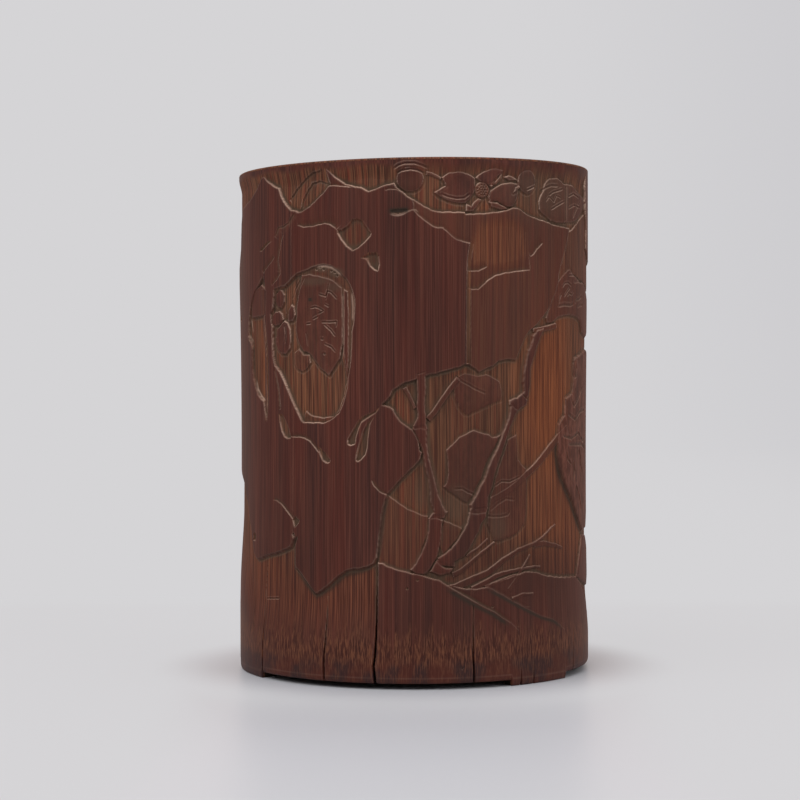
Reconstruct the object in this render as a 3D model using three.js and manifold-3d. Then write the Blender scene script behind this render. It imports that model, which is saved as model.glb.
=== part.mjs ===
// A bamboo brush pot: one length of thick stalk, carved in low relief and standing on three feet
// that are left from its own wall, with a flat floor disc let in from below.
// Millimetres, +Z up, origin at the middle of the foot plane, front towards -Y.

import * as THREE from 'three';
import * as BufferGeometryUtils from 'three/addons/utils/BufferGeometryUtils.js';
import Module from 'manifold-3d';

const wasm = await Module();
wasm.setup();

// Driving sizes of the stalk
const stalk = {
  width: 110, // across the skin, left to right
  depth: 108.6, // front to back: the stalk is a little oval
  height: 155.4, // at the middle of the rim
  wall: 7,
  waist: 0.5, // how far the middle of the stalk draws in
  rimSlope: 0.0143, // the rim rises towards the right, mm for each mm
  rimEdge: 0.6, // rounding of the rim's outer edge
  lip: 2, // rounding of the rim's inner edge
  heel: 0.6, // how far the outer foot edge is worn in
  heelHeight: 2.2,
};

// How finely the round shapes are cut: flats round the stalk, and steps in each rounded edge
const facets = 64;
const edgeSteps = 2;
const lipSteps = 3;

// Three feet left from the wall, their places in degrees from the front towards the right
const feet = { middles: [44.4, 167, 289.8], width: 25, gap: 1.8 };
const fullTurn = 360;

// Floor disc, its rebate and the glue gap between them
const floor = { thickness: 5, underside: 3.5, ledge: 2, glueGap: 0.3, bevel: 0.5 };

// Depths of the carving below the skin of the stalk
const carving = {
  ground: 0.9,
  plane: 0.55,
  leaf: 0.35,
  facet: 0.22,
  pit: 1.9,
  fadeStart: 10, // the ground runs out to the full radius between these two heights
  fadeEnd: 26,
  fadeSteps: 3,
  rimBand: 1.4, // plain skin below the rim, and the slope that leads down from it to the ground
  rimRamp: 5,
  crackDepth: 3.2,
};

// The pattern is drawn on the unrolled skin: s in mm from the front towards the right, z in mm from the foot
const sheet = { radius: 55, height: 155.4, longestEdge: 6 };

// The stalk is narrowest at one height, and straight beyond some reach above and below it
const waistPlace = { middle: 70, reach: 50, steps: 4 };

const radius = stalk.width / 2;
const bore = radius - stalk.wall;
const discRadius = bore + floor.ledge;
const ovalScale = stalk.depth / stalk.width;

// Cutters for the carving reach from inside the bore to outside the skin
const cutterInside = radius * 0.7;
const cutterOutside = radius * 1.6;

// Merges shared vertices and makes a solid
function toSolid(geometry) {
  const samePoint = 1e-4;
  geometry.deleteAttribute('normal');
  geometry.deleteAttribute('uv');
  const merged = BufferGeometryUtils.mergeVertices(geometry, samePoint);
  return new wasm.Manifold(new wasm.Mesh({
    numProp: 3,
    vertProperties: new Float32Array(merged.attributes.position.array),
    triVerts: new Uint32Array(merged.index.array),
  }));
}

function toGeometry(solid) {
  const mesh = solid.getMesh();
  const geometry = new THREE.BufferGeometry();
  geometry.setAttribute('position', new THREE.BufferAttribute(mesh.vertProperties, 3));
  geometry.setIndex(new THREE.BufferAttribute(mesh.triVerts, 1));
  geometry.computeVertexNormals();
  return geometry;
}

const join = (solids) => solids.reduce((all, solid) => all.add(solid));

// Turns a closed profile of [radius, height] points round Z, oval as the stalk is
function turned(points) {
  const profile = points.map(([r, z]) => new THREE.Vector2(r, z));
  profile.push(profile[0].clone());
  const geometry = new THREE.LatheGeometry(profile, facets);
  geometry.rotateX(Math.PI / 2);
  geometry.scale(1, ovalScale, 1);
  return geometry;
}

// Tilts the rim: a point moves up with its height and with its distance to the right
function leaned(geometry) {
  const position = geometry.attributes.position;
  for (let i = 0; i < position.count; i++) {
    const share = position.getZ(i) / stalk.height;
    position.setZ(i, position.getZ(i) + stalk.rimSlope * position.getX(i) * share);
  }
  return geometry;
}

// Points of a quarter round about a centre, from a starting angle anticlockwise
function quarterRound([centreR, centreZ], [sizeR, sizeZ], startAngle, steps) {
  const points = [];
  for (let i = 0; i <= steps; i++) {
    const angle = startAngle + (Math.PI / 2) * (i / steps);
    points.push([centreR + sizeR * Math.cos(angle), centreZ + sizeZ * Math.sin(angle)]);
  }
  return points;
}

const onStalk = (sheetHeight) => sheetHeight * stalk.height / sheet.height;

// Outer radius of the stalk at a height, for a carving depth that fades out at the foot and below the rim
function outerRadius(z, depth) {
  const { smoothstep } = THREE.MathUtils;
  const bandLow = stalk.height - carving.rimBand;
  const footFade = smoothstep(z, onStalk(carving.fadeStart), onStalk(carving.fadeEnd));
  const rimFade = 1 - smoothstep(z, bandLow - carving.rimRamp, bandLow);
  const fromWaist = (z - onStalk(waistPlace.middle)) / onStalk(waistPlace.reach);
  const drawnIn = stalk.waist * Math.max(0, 1 - fromWaist * fromWaist);
  return radius - drawnIn - depth * footFade * rimFade;
}

// Outer line of the stalk from foot to rim, at a carving depth
function outerLine(depth) {
  const { heel, heelHeight, rimEdge } = stalk;
  const heelRound = quarterRound([radius - heel, heelHeight], [heel, heelHeight], -Math.PI / 2, edgeSteps);
  const heights = [];
  for (let k = 0; k <= carving.fadeSteps; k++) {
    heights.push(THREE.MathUtils.lerp(carving.fadeStart, carving.fadeEnd, k / carving.fadeSteps));
  }
  const waistTop = waistPlace.middle + waistPlace.reach;
  for (let k = 1; k <= waistPlace.steps; k++) {
    heights.push(THREE.MathUtils.lerp(carving.fadeEnd, waistTop, k / waistPlace.steps));
  }
  const bandLow = stalk.height - carving.rimBand;
  const sideHeights = [...heights.map(onStalk), bandLow - carving.rimRamp, bandLow];
  const side = sideHeights.map((z) => [outerRadius(z, depth), z]);
  const rimCentre = [radius - rimEdge, stalk.height - rimEdge];
  const rimRound = quarterRound(rimCentre, [rimEdge, rimEdge], 0, edgeSteps);
  return [...heelRound, ...side, ...rimRound];
}

// The whole stalk with its bore, lip and floor rebate, its outside cut back to a carving depth
function stalkBody(depth) {
  const shoulder = floor.underside + floor.thickness + floor.glueGap;
  const rebate = discRadius + floor.glueGap;
  const lipCentre = [bore + stalk.lip, stalk.height - stalk.lip];
  const lip = quarterRound(lipCentre, [stalk.lip, stalk.lip], Math.PI / 2, lipSteps);
  return toSolid(leaned(turned([
    ...outerLine(depth),
    ...lip,
    [bore, shoulder],
    [rebate, shoulder],
    [rebate, 0],
  ])));
}

// The outer half of the wall, at a carving depth: raised parts of the carving are cut from it
function skinSleeve(depth) {
  const middle = radius - stalk.wall / 2;
  return toSolid(leaned(turned([...outerLine(depth), [middle, stalk.height], [middle, 0]])));
}

// Adds points to the long edges of an outline, so that it follows the round skin
function subdivided(outline) {
  const points = [];
  outline.forEach(([s0, z0], i) => {
    const [s1, z1] = outline[(i + 1) % outline.length];
    const steps = Math.ceil(Math.hypot(s1 - s0, z1 - z0) / sheet.longestEdge);
    for (let k = 0; k < steps; k++) {
      points.push(new THREE.Vector2(s0 + (s1 - s0) * k / steps, z0 + (z1 - z0) * k / steps));
    }
  });
  return points;
}

// A block whose sides run in to the axis, from an outline on the pattern sheet
function block(outline, inner = cutterInside) {
  const edge = subdivided(outline);
  if (THREE.ShapeUtils.isClockWise(edge)) {
    edge.reverse();
  }
  const caps = THREE.ShapeUtils.triangulateShape(edge, []);
  const rings = [inner, radius, cutterOutside];
  const count = edge.length;
  const position = [];
  for (const ring of rings) {
    for (const point of edge) {
      const angle = point.x / sheet.radius;
      position.push(ring * Math.sin(angle), -ring * Math.cos(angle) * ovalScale, onStalk(point.y));
    }
  }
  const index = [];
  for (const [a, b, c] of caps) {
    const last = count * (rings.length - 1);
    index.push(c, b, a, last + a, last + b, last + c);
  }
  for (let ring = 0; ring < rings.length - 1; ring++) {
    for (let i = 0; i < count; i++) {
      const a = ring * count + i;
      const b = ring * count + (i + 1) % count;
      index.push(a, b, b + count, a, b + count, a + count);
    }
  }
  const geometry = new THREE.BufferGeometry();
  geometry.setAttribute('position', new THREE.Float32BufferAttribute(position, 3));
  geometry.setIndex(index);
  return toSolid(geometry);
}

const blocks = (outlines) => join(outlines.map((outline) => block(outline)));

// Outline of a strip along a line of points, tapering from one width to another
function strip(spine, startWidth, endWidth) {
  const left = [];
  const right = [];
  spine.forEach(([s, z], i) => {
    const [s0, z0] = spine[Math.max(i - 1, 0)];
    const [s1, z1] = spine[Math.min(i + 1, spine.length - 1)];
    const length = Math.hypot(s1 - s0, z1 - z0);
    const half = THREE.MathUtils.lerp(startWidth, endWidth, i / (spine.length - 1)) / 2;
    left.push([s - (z1 - z0) / length * half, z + (s1 - s0) / length * half]);
    right.unshift([s + (z1 - z0) / length * half, z - (s1 - s0) / length * half]);
  });
  return [...left, ...right];
}

// Outline of an oval bud or hole
function oval(s, z, halfWidth, halfHeight, points = 14) {
  return Array.from({ length: points }, (_, i) => {
    const angle = i * 2 * Math.PI / points;
    return [s + halfWidth * Math.cos(angle), z + halfHeight * Math.sin(angle)];
  });
}

// The pierced rock, in two overlapping halves, left as skin
const rockLeft = [
  [-36, 140.3], [-40, 141.1], [-43.2, 144], [-45.4, 147.9], [-50, 149.8], [-53.3, 152], [-54.5, 151.5],
  [-60, 147], [-67, 144.4], [-71.5, 143.2], [-73.5, 139], [-75, 131], [-79, 126.5], [-90, 122], [-99, 112],
  [-104, 98],
  [-101, 84], [-93, 72], [-84, 63], [-74.9, 59.5], [-72, 58], [-67.6, 51.8], [-64.1, 44.2],
  [-61.4, 37.6], [-58.8, 35.7], [-52.6, 37.3], [-43.8, 39.5], [-39.6, 42.7], [-36, 44],
];
const rockRight = [
  [0.1, 142.9], [-3.5, 145.5], [-7, 146.8], [-13.2, 145.6], [-17.6, 147.1], [-20.4, 147.9],
  [-23.2, 149.6], [-27, 153.3], [-25.5, 147.9], [-27.9, 145.6], [-32.3, 142.1], [-37, 140.3],
  [-40, 141], [-40, 46], [-38.2, 43.6], [-39.1, 38.3], [-38.9, 34.7], [-34.1, 30.3], [-31.1, 27.4],
  [-30.2, 27.4], [-24.6, 31.5], [-19.4, 34.9], [-14.1, 35.7], [-11, 38.5], [-9.6, 48.6], [-8.5, 55.1],
  [-6.4, 58.6], [0.4, 65.6], [2.4, 69.2], [1.2, 73], [-2.6, 77.4], [-6.1, 81.8], [-9.4, 83.3],
  [-7, 85.6], [-4.4, 88.6], [2.4, 91.4], [11.2, 93.6], [15.4, 95.1], [16.5, 95], [15.8, 116],
  [16.1, 125.9], [17.1, 130.5], [14.8, 130.9], [10.6, 133.1], [7.1, 134.9], [3.3, 137], [0.1, 139.9],
];

// The rock's right flank, one step lower than the skin
const rockFlank = [
  [57, 136.2], [50.4, 136.8], [43, 138], [36.8, 139.3], [33, 141.3], [26.2, 139.9], [20.4, 139.2],
  [7.1, 139.5], [0.1, 142.9], [-1, 139], [6, 132], [13, 126], [13, 94.2], [15.4, 95.1], [19.9, 92.7],
  [24.5, 94.6], [30.4, 96.5], [32.6, 96.2], [36.2, 103.3], [41.2, 107.3], [46.5, 112.1], [50.9, 120],
  [53, 126.8], [56.2, 133.3],
];

// Openings through the rock to the ground behind it
const rockWindow = [
  [-37.9, 122], [-32, 123.6], [-27.3, 124.5], [-23.5, 123], [-20.2, 120.1], [-18.2, 116],
  [-17.7, 110.6], [-18.8, 100.4], [-19.8, 92.1], [-21.7, 83.3], [-24.4, 79.6], [-27.6, 78],
  [-35.2, 78], [-38.5, 82.1], [-43.8, 90.6], [-47.9, 94.8], [-49.1, 101.5], [-49.9, 110.4],
  [-48.3, 115.1], [-45.2, 118.3], [-40.8, 119.8],
];
const rockPocket = [
  [-53.8, 121.7], [-58.5, 117.7], [-63.2, 113], [-65.5, 105.6], [-66.4, 104.2], [-63.2, 101.8],
  [-62.3, 96.8], [-61.4, 90.9], [-58.2, 86.2], [-54.5, 84.2], [-51.5, 78], [-51, 84], [-51.5, 100],
  [-53.5, 110.1], [-52.3, 116],
];

// Hollows worn into the rock, deeper than the ground
const pits = [
  [[-23.2, 134.8], [-19.9, 135.9], [-18.5, 137.6], [-16.7, 138], [-13.8, 135.4], [-12.3, 133.3],
    [-14.4, 130.6], [-18.2, 128.2], [-22, 131.7]],
  [[-13.3, 127.9], [-10.8, 128], [-9.8, 124.2], [-10.4, 122.1], [-13, 123.7], [-16, 126.2]],
  [[-6.7, 140.1], [-3.8, 141.3], [-0.8, 140.1], [-2.6, 139], [-4.2, 138.4], [-6.3, 138.9]],
  [[-9.4, 83.3], [-13.8, 80.8], [-17, 78.3], [-20.2, 73], [-20.2, 71.7], [-17.6, 71.7], [-15.5, 78]],
  [[-9.9, 81.5], [-12.9, 77.4], [-13.8, 70.6], [-14.4, 68.6], [-17, 66.4], [-17.3, 68.9], [-14.6, 77]],
  [[-46.3, 80.5], [-44.1, 80.4], [-42.6, 78.3], [-40.5, 73.1], [-42.3, 72.9], [-44.9, 75.1]],
  [[-30.2, 71.5], [-27, 68.9], [-25.7, 67.1], [-27, 65.9], [-29.5, 68.3]],
  [[-38.5, 50.1], [-36.9, 48.9], [-37.3, 48], [-39.1, 46.4], [-40.2, 48.9]],
  [[-56.1, 129.5], [-52.3, 130.4], [-48.2, 132.3], [-52.6, 131.8]],
  oval(-77, 109.5, 2.6, 1.4),
];

// The earth bank at the foot, in three overlapping slopes, each lower than the one to its left
const bankLeft = [
  [-11, 12], [-10.8, 37.2], [-4.6, 35.1], [0.4, 34], [5.1, 32.6], [10.1, 30.3], [15.6, 27.1],
  [21.5, 23.8], [27.4, 20.4], [33, 16.5], [36, 12],
];
const bankMiddle = [
  [6, 12], [6, 30], [10.1, 30.6], [14, 29.7], [22, 29.6], [29, 26.3], [38, 21.9], [48, 18.6], [54, 15],
  [55, 12],
];
const bankRight = [
  [18, 12], [18, 28], [21.8, 29.6], [28, 31.6], [33, 32.8], [40, 32.9], [51.2, 30.8], [60, 30.3],
  [64, 30], [68, 27.5], [72, 24], [78, 18], [83, 12],
];

// A second rock beyond the leaves on the right, seen only from the side
const farRock = [
  [74, 157], [72.5, 150], [73, 143], [75, 137], [74, 131], [79, 128], [90, 126], [101, 132], [108, 143],
  [112, 157],
];

// Two jointed stems with their twigs, left as skin
const stems = [
  strip([[2.2, 90], [2.4, 84], [1.7, 77], [2.4, 73], [3.6, 66], [5.7, 59], [7.4, 51]], 2.6, 3.6),
  strip([[7.4, 51], [6.2, 46], [4.6, 40], [1, 34]], 4, 4),
  strip([[41, 104], [37.6, 98], [36.6, 90], [35.2, 84.4], [31.4, 82], [28.6, 74], [24.4, 65], [21, 57],
    [19.2, 51]], 2.6, 4.4),
  strip([[19.2, 51], [17.2, 46], [14, 40.6], [8.8, 36.6]], 5, 4),
  strip([[3.6, 79.5], [7.7, 84.8], [12.9, 91.5]], 1.4, 1.2),
  strip([[-2, 88], [-0.5, 85.4], [0.6, 82.7]], 1, 0.8),
  strip([[39.2, 105.8], [45.1, 106.9], [52, 108.6]], 1.6, 3),
];

// Leaves, blossoms and buds, a little lower than the skin
const leaves = [
  [[11.8, 88.6], [12.4, 85.4], [15.4, 80.6], [19.8, 81.8], [27.4, 84.6], [26.8, 90.1], [22.4, 92.1],
    [13, 91.2]],
  [[9.8, 70.1], [13.6, 73.7], [18.3, 75.9], [24.5, 73.5], [28, 74.3], [22, 62], [17.5, 54.5],
    [12.7, 56.5], [8.9, 59.3], [10.4, 63.3]],
  [[29, 72.5], [33.1, 74.3], [33.3, 70.6], [34.5, 64.8], [34.5, 51.5], [33.9, 48.6], [26.2, 43],
    [24.8, 43.3], [21, 49], [23, 58]],
  [[-37.6, 115.1], [-38.8, 105.6], [-37, 100.6], [-34.1, 98.7], [-29.4, 93.9], [-26.4, 91.8],
    [-22, 96.7], [-21.3, 110.6], [-21.4, 114.8], [-24.4, 118.9], [-29.6, 121.1], [-33.2, 120.5]],
  [[-49.5, 109.5], [-46.1, 111.1], [-44.1, 108.6], [-45.5, 107.1], [-49.5, 107.1]],
  [[-47.3, 105.9], [-43.8, 108.3], [-41.1, 105.6], [-40.8, 102.7], [-41.4, 99.8], [-43.2, 98.3],
    [-45.2, 98.3], [-48.2, 102.1]],
  [[-41.7, 111.2], [-40.4, 113], [-38.8, 109.8], [-39.9, 108], [-42, 108]],
  [[-39.4, 98.6], [-37.6, 99.8], [-33.5, 98], [-33, 95.6], [-36.1, 93.1], [-39.4, 95.1]],
  oval(-45.6, 114.8, 2.3, 2.8),
  oval(-1, 149, 4, 3.7),
  oval(36.7, 149.2, 3.4, 3.6),
  oval(20.8, 146.1, 2.2, 2.2),
  [[6.2, 145.1], [9.5, 147.1], [10.4, 150.8], [15.1, 151], [18.6, 149.5], [18.6, 146.8],
    [16.8, 143.3], [12.7, 142.1], [7.7, 143.9]],
  [[18.6, 149.6], [21.5, 151.5], [25.4, 152.6], [27.7, 152], [25.4, 148.9], [22.4, 147]],
  [[23.6, 145.9], [26.4, 147.7], [31.2, 148.6], [34.2, 148.3], [33, 144.8], [30.9, 141.5],
    [27.4, 142.1], [23.3, 142.7]],
  [[44, 148.6], [46.5, 150.6], [50.9, 150.9], [54.5, 149.5], [60.4, 149.5], [66.2, 147.4],
    [72, 146], [68.9, 142.4], [61.8, 138.4], [50.4, 137.6], [42.4, 140.4], [41.5, 143.6]],
  strip([[-41.1, 144.2], [-38.2, 147.1], [-34.6, 150.2], [-27.9, 152.4]], 1.6, 1),
  strip([[-36.7, 140.6], [-35.7, 143.9], [-32, 148.6], [-26.1, 148.3]], 1.6, 1),
  [[50.9, 120], [54.8, 122.6], [58.3, 123.9], [64.5, 121.1], [72, 120], [80, 116], [84, 109],
    [84, 104.5], [76, 103.4], [69.8, 105.1], [63, 109.8], [54.2, 109.8], [48.3, 107.7], [45.6, 107.4],
    [46.5, 112.1]],
  [[51.2, 71.2], [52.4, 63.9], [56.8, 57.4], [61.5, 52.7], [65.9, 47.4], [70.6, 43.7], [78, 44],
    [86, 52], [90, 66], [88, 82], [90, 93], [84, 99.5], [76, 99.8], [70, 98.5], [63, 97], [62.1, 91.5],
    [60.9, 86.2], [56.2, 84.8], [55.6, 79.8], [52, 77]],
];

// Low planes of the ground, halfway up
const planes = [
  [[56.5, 135], [60.2, 136.2], [68.9, 140.4], [78, 143], [88, 139], [93, 128], [84, 118], [58.3, 123],
    [50.9, 120], [53, 126.8]],
  [[-10.8, 36.5], [-9.6, 48], [-7.7, 57], [-2.3, 53.1], [4.2, 50.8], [4.2, 46], [1.8, 39.5], [-1.1, 34]],
  [[8.9, 49.5], [14.5, 47.1], [13.3, 44.2], [8.6, 39.5], [7.2, 42.7]],
];

// Blades of grass that spring from the bank, and one long stalk that leans out of the leaves
const grass = [
  strip([[10.6, 30.6], [20.1, 33.8], [30.4, 39.5], [40, 42.2], [49.9, 47]], 2.2, 0.6),
  strip([[40, 42.2], [46.8, 41.7], [53.9, 39.9]], 1, 0.5),
  strip([[17.1, 29.9], [25.4, 33.5], [33.3, 34.9], [42.4, 34.9]], 1.8, 0.6),
  strip([[11.2, 34.2], [17.4, 37.9], [24.9, 43]], 1.4, 0.6),
  strip([[23.6, 55.9], [33.3, 60.9], [43.9, 68.6], [56.2, 76.7]], 1.2, 1.2),
];

// The widest drying crack, open at the foot and closing upwards
const crack = [[-12.1, -3], [-12.1, 6.8], [-11.5, 15], [-11.1, 34], [-11, 15], [-11.1, 6.8], [-11.1, -3]];

// Clears the wall between two feet: a ring sector from one foot's end to the next one's start
function gapCutter(middle, nextMiddle) {
  const fromFront = (degrees) => THREE.MathUtils.degToRad(degrees) - Math.PI / 2;
  const turn = (nextMiddle - middle + fullTurn) % fullTurn;
  const start = fromFront(middle + feet.width / 2);
  const end = fromFront(middle + turn - feet.width / 2);
  const shape = new THREE.Shape();
  shape.absarc(0, 0, cutterOutside, start, end, false);
  shape.absarc(0, 0, cutterInside, end, start, true);
  const curveSegments = Math.round(facets * turn / fullTurn / 2);
  const depth = stalk.heelHeight + feet.gap;
  const geometry = new THREE.ExtrudeGeometry(shape, { depth, bevelEnabled: false, curveSegments });
  geometry.translate(0, 0, -stalk.heelHeight);
  return toSolid(geometry);
}

function culmWall() {
  const rock = blocks([rockLeft, rockRight]).subtract(blocks([rockWindow, rockPocket]));
  const skinParts = join([rock, blocks([bankLeft, farRock]), blocks(stems)]);
  let wall = stalkBody(carving.ground);
  wall = wall.add(skinSleeve(0).intersect(skinParts));
  wall = wall.add(skinSleeve(carving.facet).intersect(blocks([rockFlank, bankMiddle])));
  wall = wall.add(skinSleeve(carving.leaf).intersect(blocks([bankRight, ...leaves, ...grass])));
  wall = wall.add(skinSleeve(carving.plane).intersect(blocks(planes)));
  wall = wall.subtract(join(pits.map((outline) => block(outline, radius - carving.pit))));
  wall = wall.subtract(block(crack, radius - carving.crackDepth));
  feet.middles.forEach((middle, i) => {
    const nextMiddle = feet.middles[(i + 1) % feet.middles.length];
    wall = wall.subtract(gapCutter(middle, nextMiddle));
  });
  return wall;
}

function floorDisc() {
  const top = floor.underside + floor.thickness;
  return toSolid(turned([
    [0, floor.underside],
    [discRadius - floor.bevel, floor.underside],
    [discRadius, floor.underside + floor.bevel],
    [discRadius, top - floor.bevel],
    [discRadius - floor.bevel, top],
    [0, top],
  ]));
}

function piece(name, solid, color, roughness) {
  const material = new THREE.MeshStandardMaterial({ color, roughness, metalness: 0 });
  const mesh = new THREE.Mesh(toGeometry(solid), material);
  mesh.name = name;
  return mesh;
}

const brushPot = new THREE.Group();
brushPot.add(piece('culm_wall', culmWall(), 0x53302a, 0.5));
brushPot.add(piece('floor_disc', floorDisc(), 0x5e4030, 0.7));

export default brushPot;
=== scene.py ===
import math

import bmesh
import bpy
import numpy as np
from mathutils import Matrix, Vector


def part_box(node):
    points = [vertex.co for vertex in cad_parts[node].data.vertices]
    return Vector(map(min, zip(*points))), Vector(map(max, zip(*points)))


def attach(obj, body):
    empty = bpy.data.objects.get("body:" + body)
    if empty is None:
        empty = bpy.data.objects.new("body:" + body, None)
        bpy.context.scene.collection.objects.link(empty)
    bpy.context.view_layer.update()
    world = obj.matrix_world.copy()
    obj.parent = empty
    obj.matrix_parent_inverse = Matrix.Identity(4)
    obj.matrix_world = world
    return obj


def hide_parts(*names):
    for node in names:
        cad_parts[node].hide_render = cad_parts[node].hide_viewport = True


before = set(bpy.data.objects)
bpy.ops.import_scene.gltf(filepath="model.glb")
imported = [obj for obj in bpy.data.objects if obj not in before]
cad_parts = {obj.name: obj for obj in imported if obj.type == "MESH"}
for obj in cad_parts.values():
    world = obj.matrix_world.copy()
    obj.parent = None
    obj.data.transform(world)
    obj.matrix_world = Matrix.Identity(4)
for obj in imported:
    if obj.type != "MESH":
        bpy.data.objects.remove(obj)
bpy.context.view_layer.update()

# Sizes of the pot, in millimetres: the outer ones from the frame, the others as in the part's source
MM = 0.001
WALL_LOW, WALL_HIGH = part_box("culm_wall")
DISC_LOW, DISC_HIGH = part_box("floor_disc")
RADIUS = (WALL_HIGH.x - WALL_LOW.x) / 2 / MM
OVAL = (WALL_HIGH.y - WALL_LOW.y) / (WALL_HIGH.x - WALL_LOW.x)
RIM_SLOPE = 0.0143          # the rim rises towards the right, mm for each mm
HEIGHT = WALL_HIGH.z / MM - RIM_SLOPE * RADIUS
WALL = 7.0
BORE = RADIUS - WALL
DISC_RADIUS = (DISC_HIGH.x - DISC_LOW.x) / 2 / MM
DISC_BOTTOM, DISC_TOP = DISC_LOW.z / MM, DISC_HIGH.z / MM
GLUE_GAP = 0.3
WAIST, WAIST_MIDDLE, WAIST_REACH = 0.5, 70.0, 50.0
RIM_EDGE = 0.6
LIP = 2.0
HEEL, HEEL_HEIGHT = 0.6, 2.2
FOOT_GAP = 1.8
FEET = (44.4, 167.0, 289.8)     # middles in degrees, from the front towards the right
FOOT_WIDTH = 25.0
FOOT_REACH = 6.0                # how far up the wall's mesh bends over the gaps between the feet

# Kinds of surface on the wall, which its material tells apart
OUTSIDE, CUT_END, SOFT_LIP, INSIDE, UNDERSIDE = 0.0, 1.0, 1.5, 2.0, 2.5

# Carving levels against the old skin, in millimetres, and where they apply
GROUND, PLANE, LEAF, FLANK = -0.9, -0.55, -0.35, -0.22
FADE_START, FADE_END = 10.0, 26.0   # heights between which the cut ground sets in above the foot
SOFT_BELOW = 66.0                   # the rocks' edges are softer under this height
RIM_BAND, RIM_RAMP = 1.4, 5.0       # plain skin below the rim, and the slope down from it to the ground

# Spacing of the carved skin's mesh, in millimetres: in front, at the sides and at the back
FINE, MEDIUM, COARSE = ((0.17, 0.32, 0.9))
FINE_HALF_TURN, MEDIUM_HALF_TURN = math.radians(84), math.radians(122)
# Rings of the mesh on the rim's edge, the rim, its lip, the bore and the underside
EDGE_RINGS, RIM_RINGS, LIP_RINGS, BORE_RINGS, UNDER_RINGS = 6, 16, 9, 60, 8

# Lamps: name, place and size in metres, power in watts
LAMPS = (
    ("key", (-0.75, -0.75, 1.25), 1.5, 20.0),
    ("right_fill", (1.15, -0.7, 0.8), 1.3, 9.5),
    ("top", (0.1, 0.3, 1.6), 1.4, 14.0),
)
SKY_COLOUR, SKY_STRENGTH = (0.97, 0.98, 1.0, 1), 0.22

# Outlines on the unrolled skin, in millimetres: from the front towards the right, and up from the foot

def points(text):
    return np.array([[float(value) for value in pair.split(",")] for pair in text.split()])


def drawn(*rows):
    """Rows that start with an outline, with its text turned into points."""
    return [(points(text), *values) for text, *values in rows]


ROCK_LEFT = points("""
    -36,140.3 -37,140.3 -38.2,140.8 -40,141.1 -42,142.7 -43.2,144 -44.1,145.4 -45.4,147.9 -47.6,148.6
    -50,149.8 -52,150.9 -53.3,152 -54.5,151.5 -57.5,148.5 -60,147 -62,145.8 -67,144.4 -71.5,143.2 -73.5,139
    -75,131 -79,126.5 -90,122 -99,112 -104,98 -101,84 -93,72 -84,63 -74.9,59.5 -72,58 -70.5,56.2 -69.1,53.9
    -67.6,51.8 -66.4,49.5 -65.2,46.8 -64.1,44.2 -62.9,41.2 -61.4,37.6 -60.2,36.2 -58.8,35.7 -55.5,36.5
    -52.6,37.3 -49.6,38 -46.7,38.6 -43.8,39.5 -40.8,40.6 -39.6,42.7 -36,46""")
ROCK_RIGHT = points("""
    0.1,142.9 -1.7,144 -3.5,145.5 -5,146.6 -5.7,147.9 -7.2,147.6 -9.9,146.8 -11.7,146 -13.2,145.6
    -14.4,146.2 -15.8,146.9 -17.6,147.1 -20.4,147.9 -23.2,149.6 -25.7,151.8 -27.4,153.4 -25.5,147.9
    -26.4,147.3 -27.9,145.6 -29.6,144.2 -32.3,142.1 -35.7,140.4 -37,140.3 -40,141 -40,46 -38.2,43.6
    -39.1,41.5 -39.1,38.3 -38.9,34.7 -37.6,33.8 -35.8,32.2 -34.1,30.3 -32.6,28.8 -31.1,27.4 -30.2,27.4
    -28.2,28.7 -26.4,30 -24.6,31.5 -22.6,33.1 -20.8,34.3 -19.4,34.9 -16.7,35.1 -14.1,35.7 -12,36.8 -11,38.5
    -10.5,41.5 -10.1,45.1 -9.6,48.6 -9.4,51.5 -8.5,55.1 -7.9,57 -6.4,58.6 -4.9,60.4 -3.2,62.1 -1.4,63.9
    0.4,65.6 1.8,67.4 2.4,69.2 1.8,70.1 1.2,73 -0.5,76.1 -2.6,77.4 -4.1,78.6 -5.2,80.1 -6.1,81.8 -7,82.7
    -9.4,83.3 -8.2,84.5 -7,85.6 -6.3,87.4 -4.4,88.6 -2.6,89.8 0.1,90.4 2.4,91.4 4.5,92 6.8,92.4 9.2,93.1
    11.2,93.6 13.6,94.2 15.4,95.1 16.5,95 15.8,116 16.1,125.9 16.5,128.3 17.1,130.5 14.8,130.9 12.7,131.5
    10.6,133.1 8.7,134.8 7.1,134.9 5.4,135.4 3.3,137 1.2,138.7 0.1,139.8""")
ROCK_FLANK = points("""
    57.5,136.4 50.4,136.8 47.7,137 45.6,137.6 43,138 40,138.6 36.8,139.3 34.8,140.4 33,141.3 31.2,141.2
    28.9,140.5 26.2,139.9 23.3,139.5 20.4,139.2 17.4,139.1 15.6,138.9 15.4,139.5 7.1,139.5 5.1,140.1
    2.7,141.4 0.1,142.9 -1,139 6,132 13,126 13,94.2 15.4,95.1 16.8,94.8 18.6,93.7 19.9,92.7 21.2,93.3
    22.7,94 24.5,94.6 26.2,95.9 28.3,96.4 30.4,96.5 32.6,96.2 33.6,98.6 34.8,100.9 36.2,103.3 37.4,104.8
    39.2,105.8 41.2,107.3 43.3,109.2 45,110.6 46.5,112.1 47.7,114.5 49.2,116.2 50.1,118.6 50.9,120
    51.2,122.7 52.1,124.8 53,126.8 53.9,128.6 55.1,130.6 56.2,133.3""")
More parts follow.
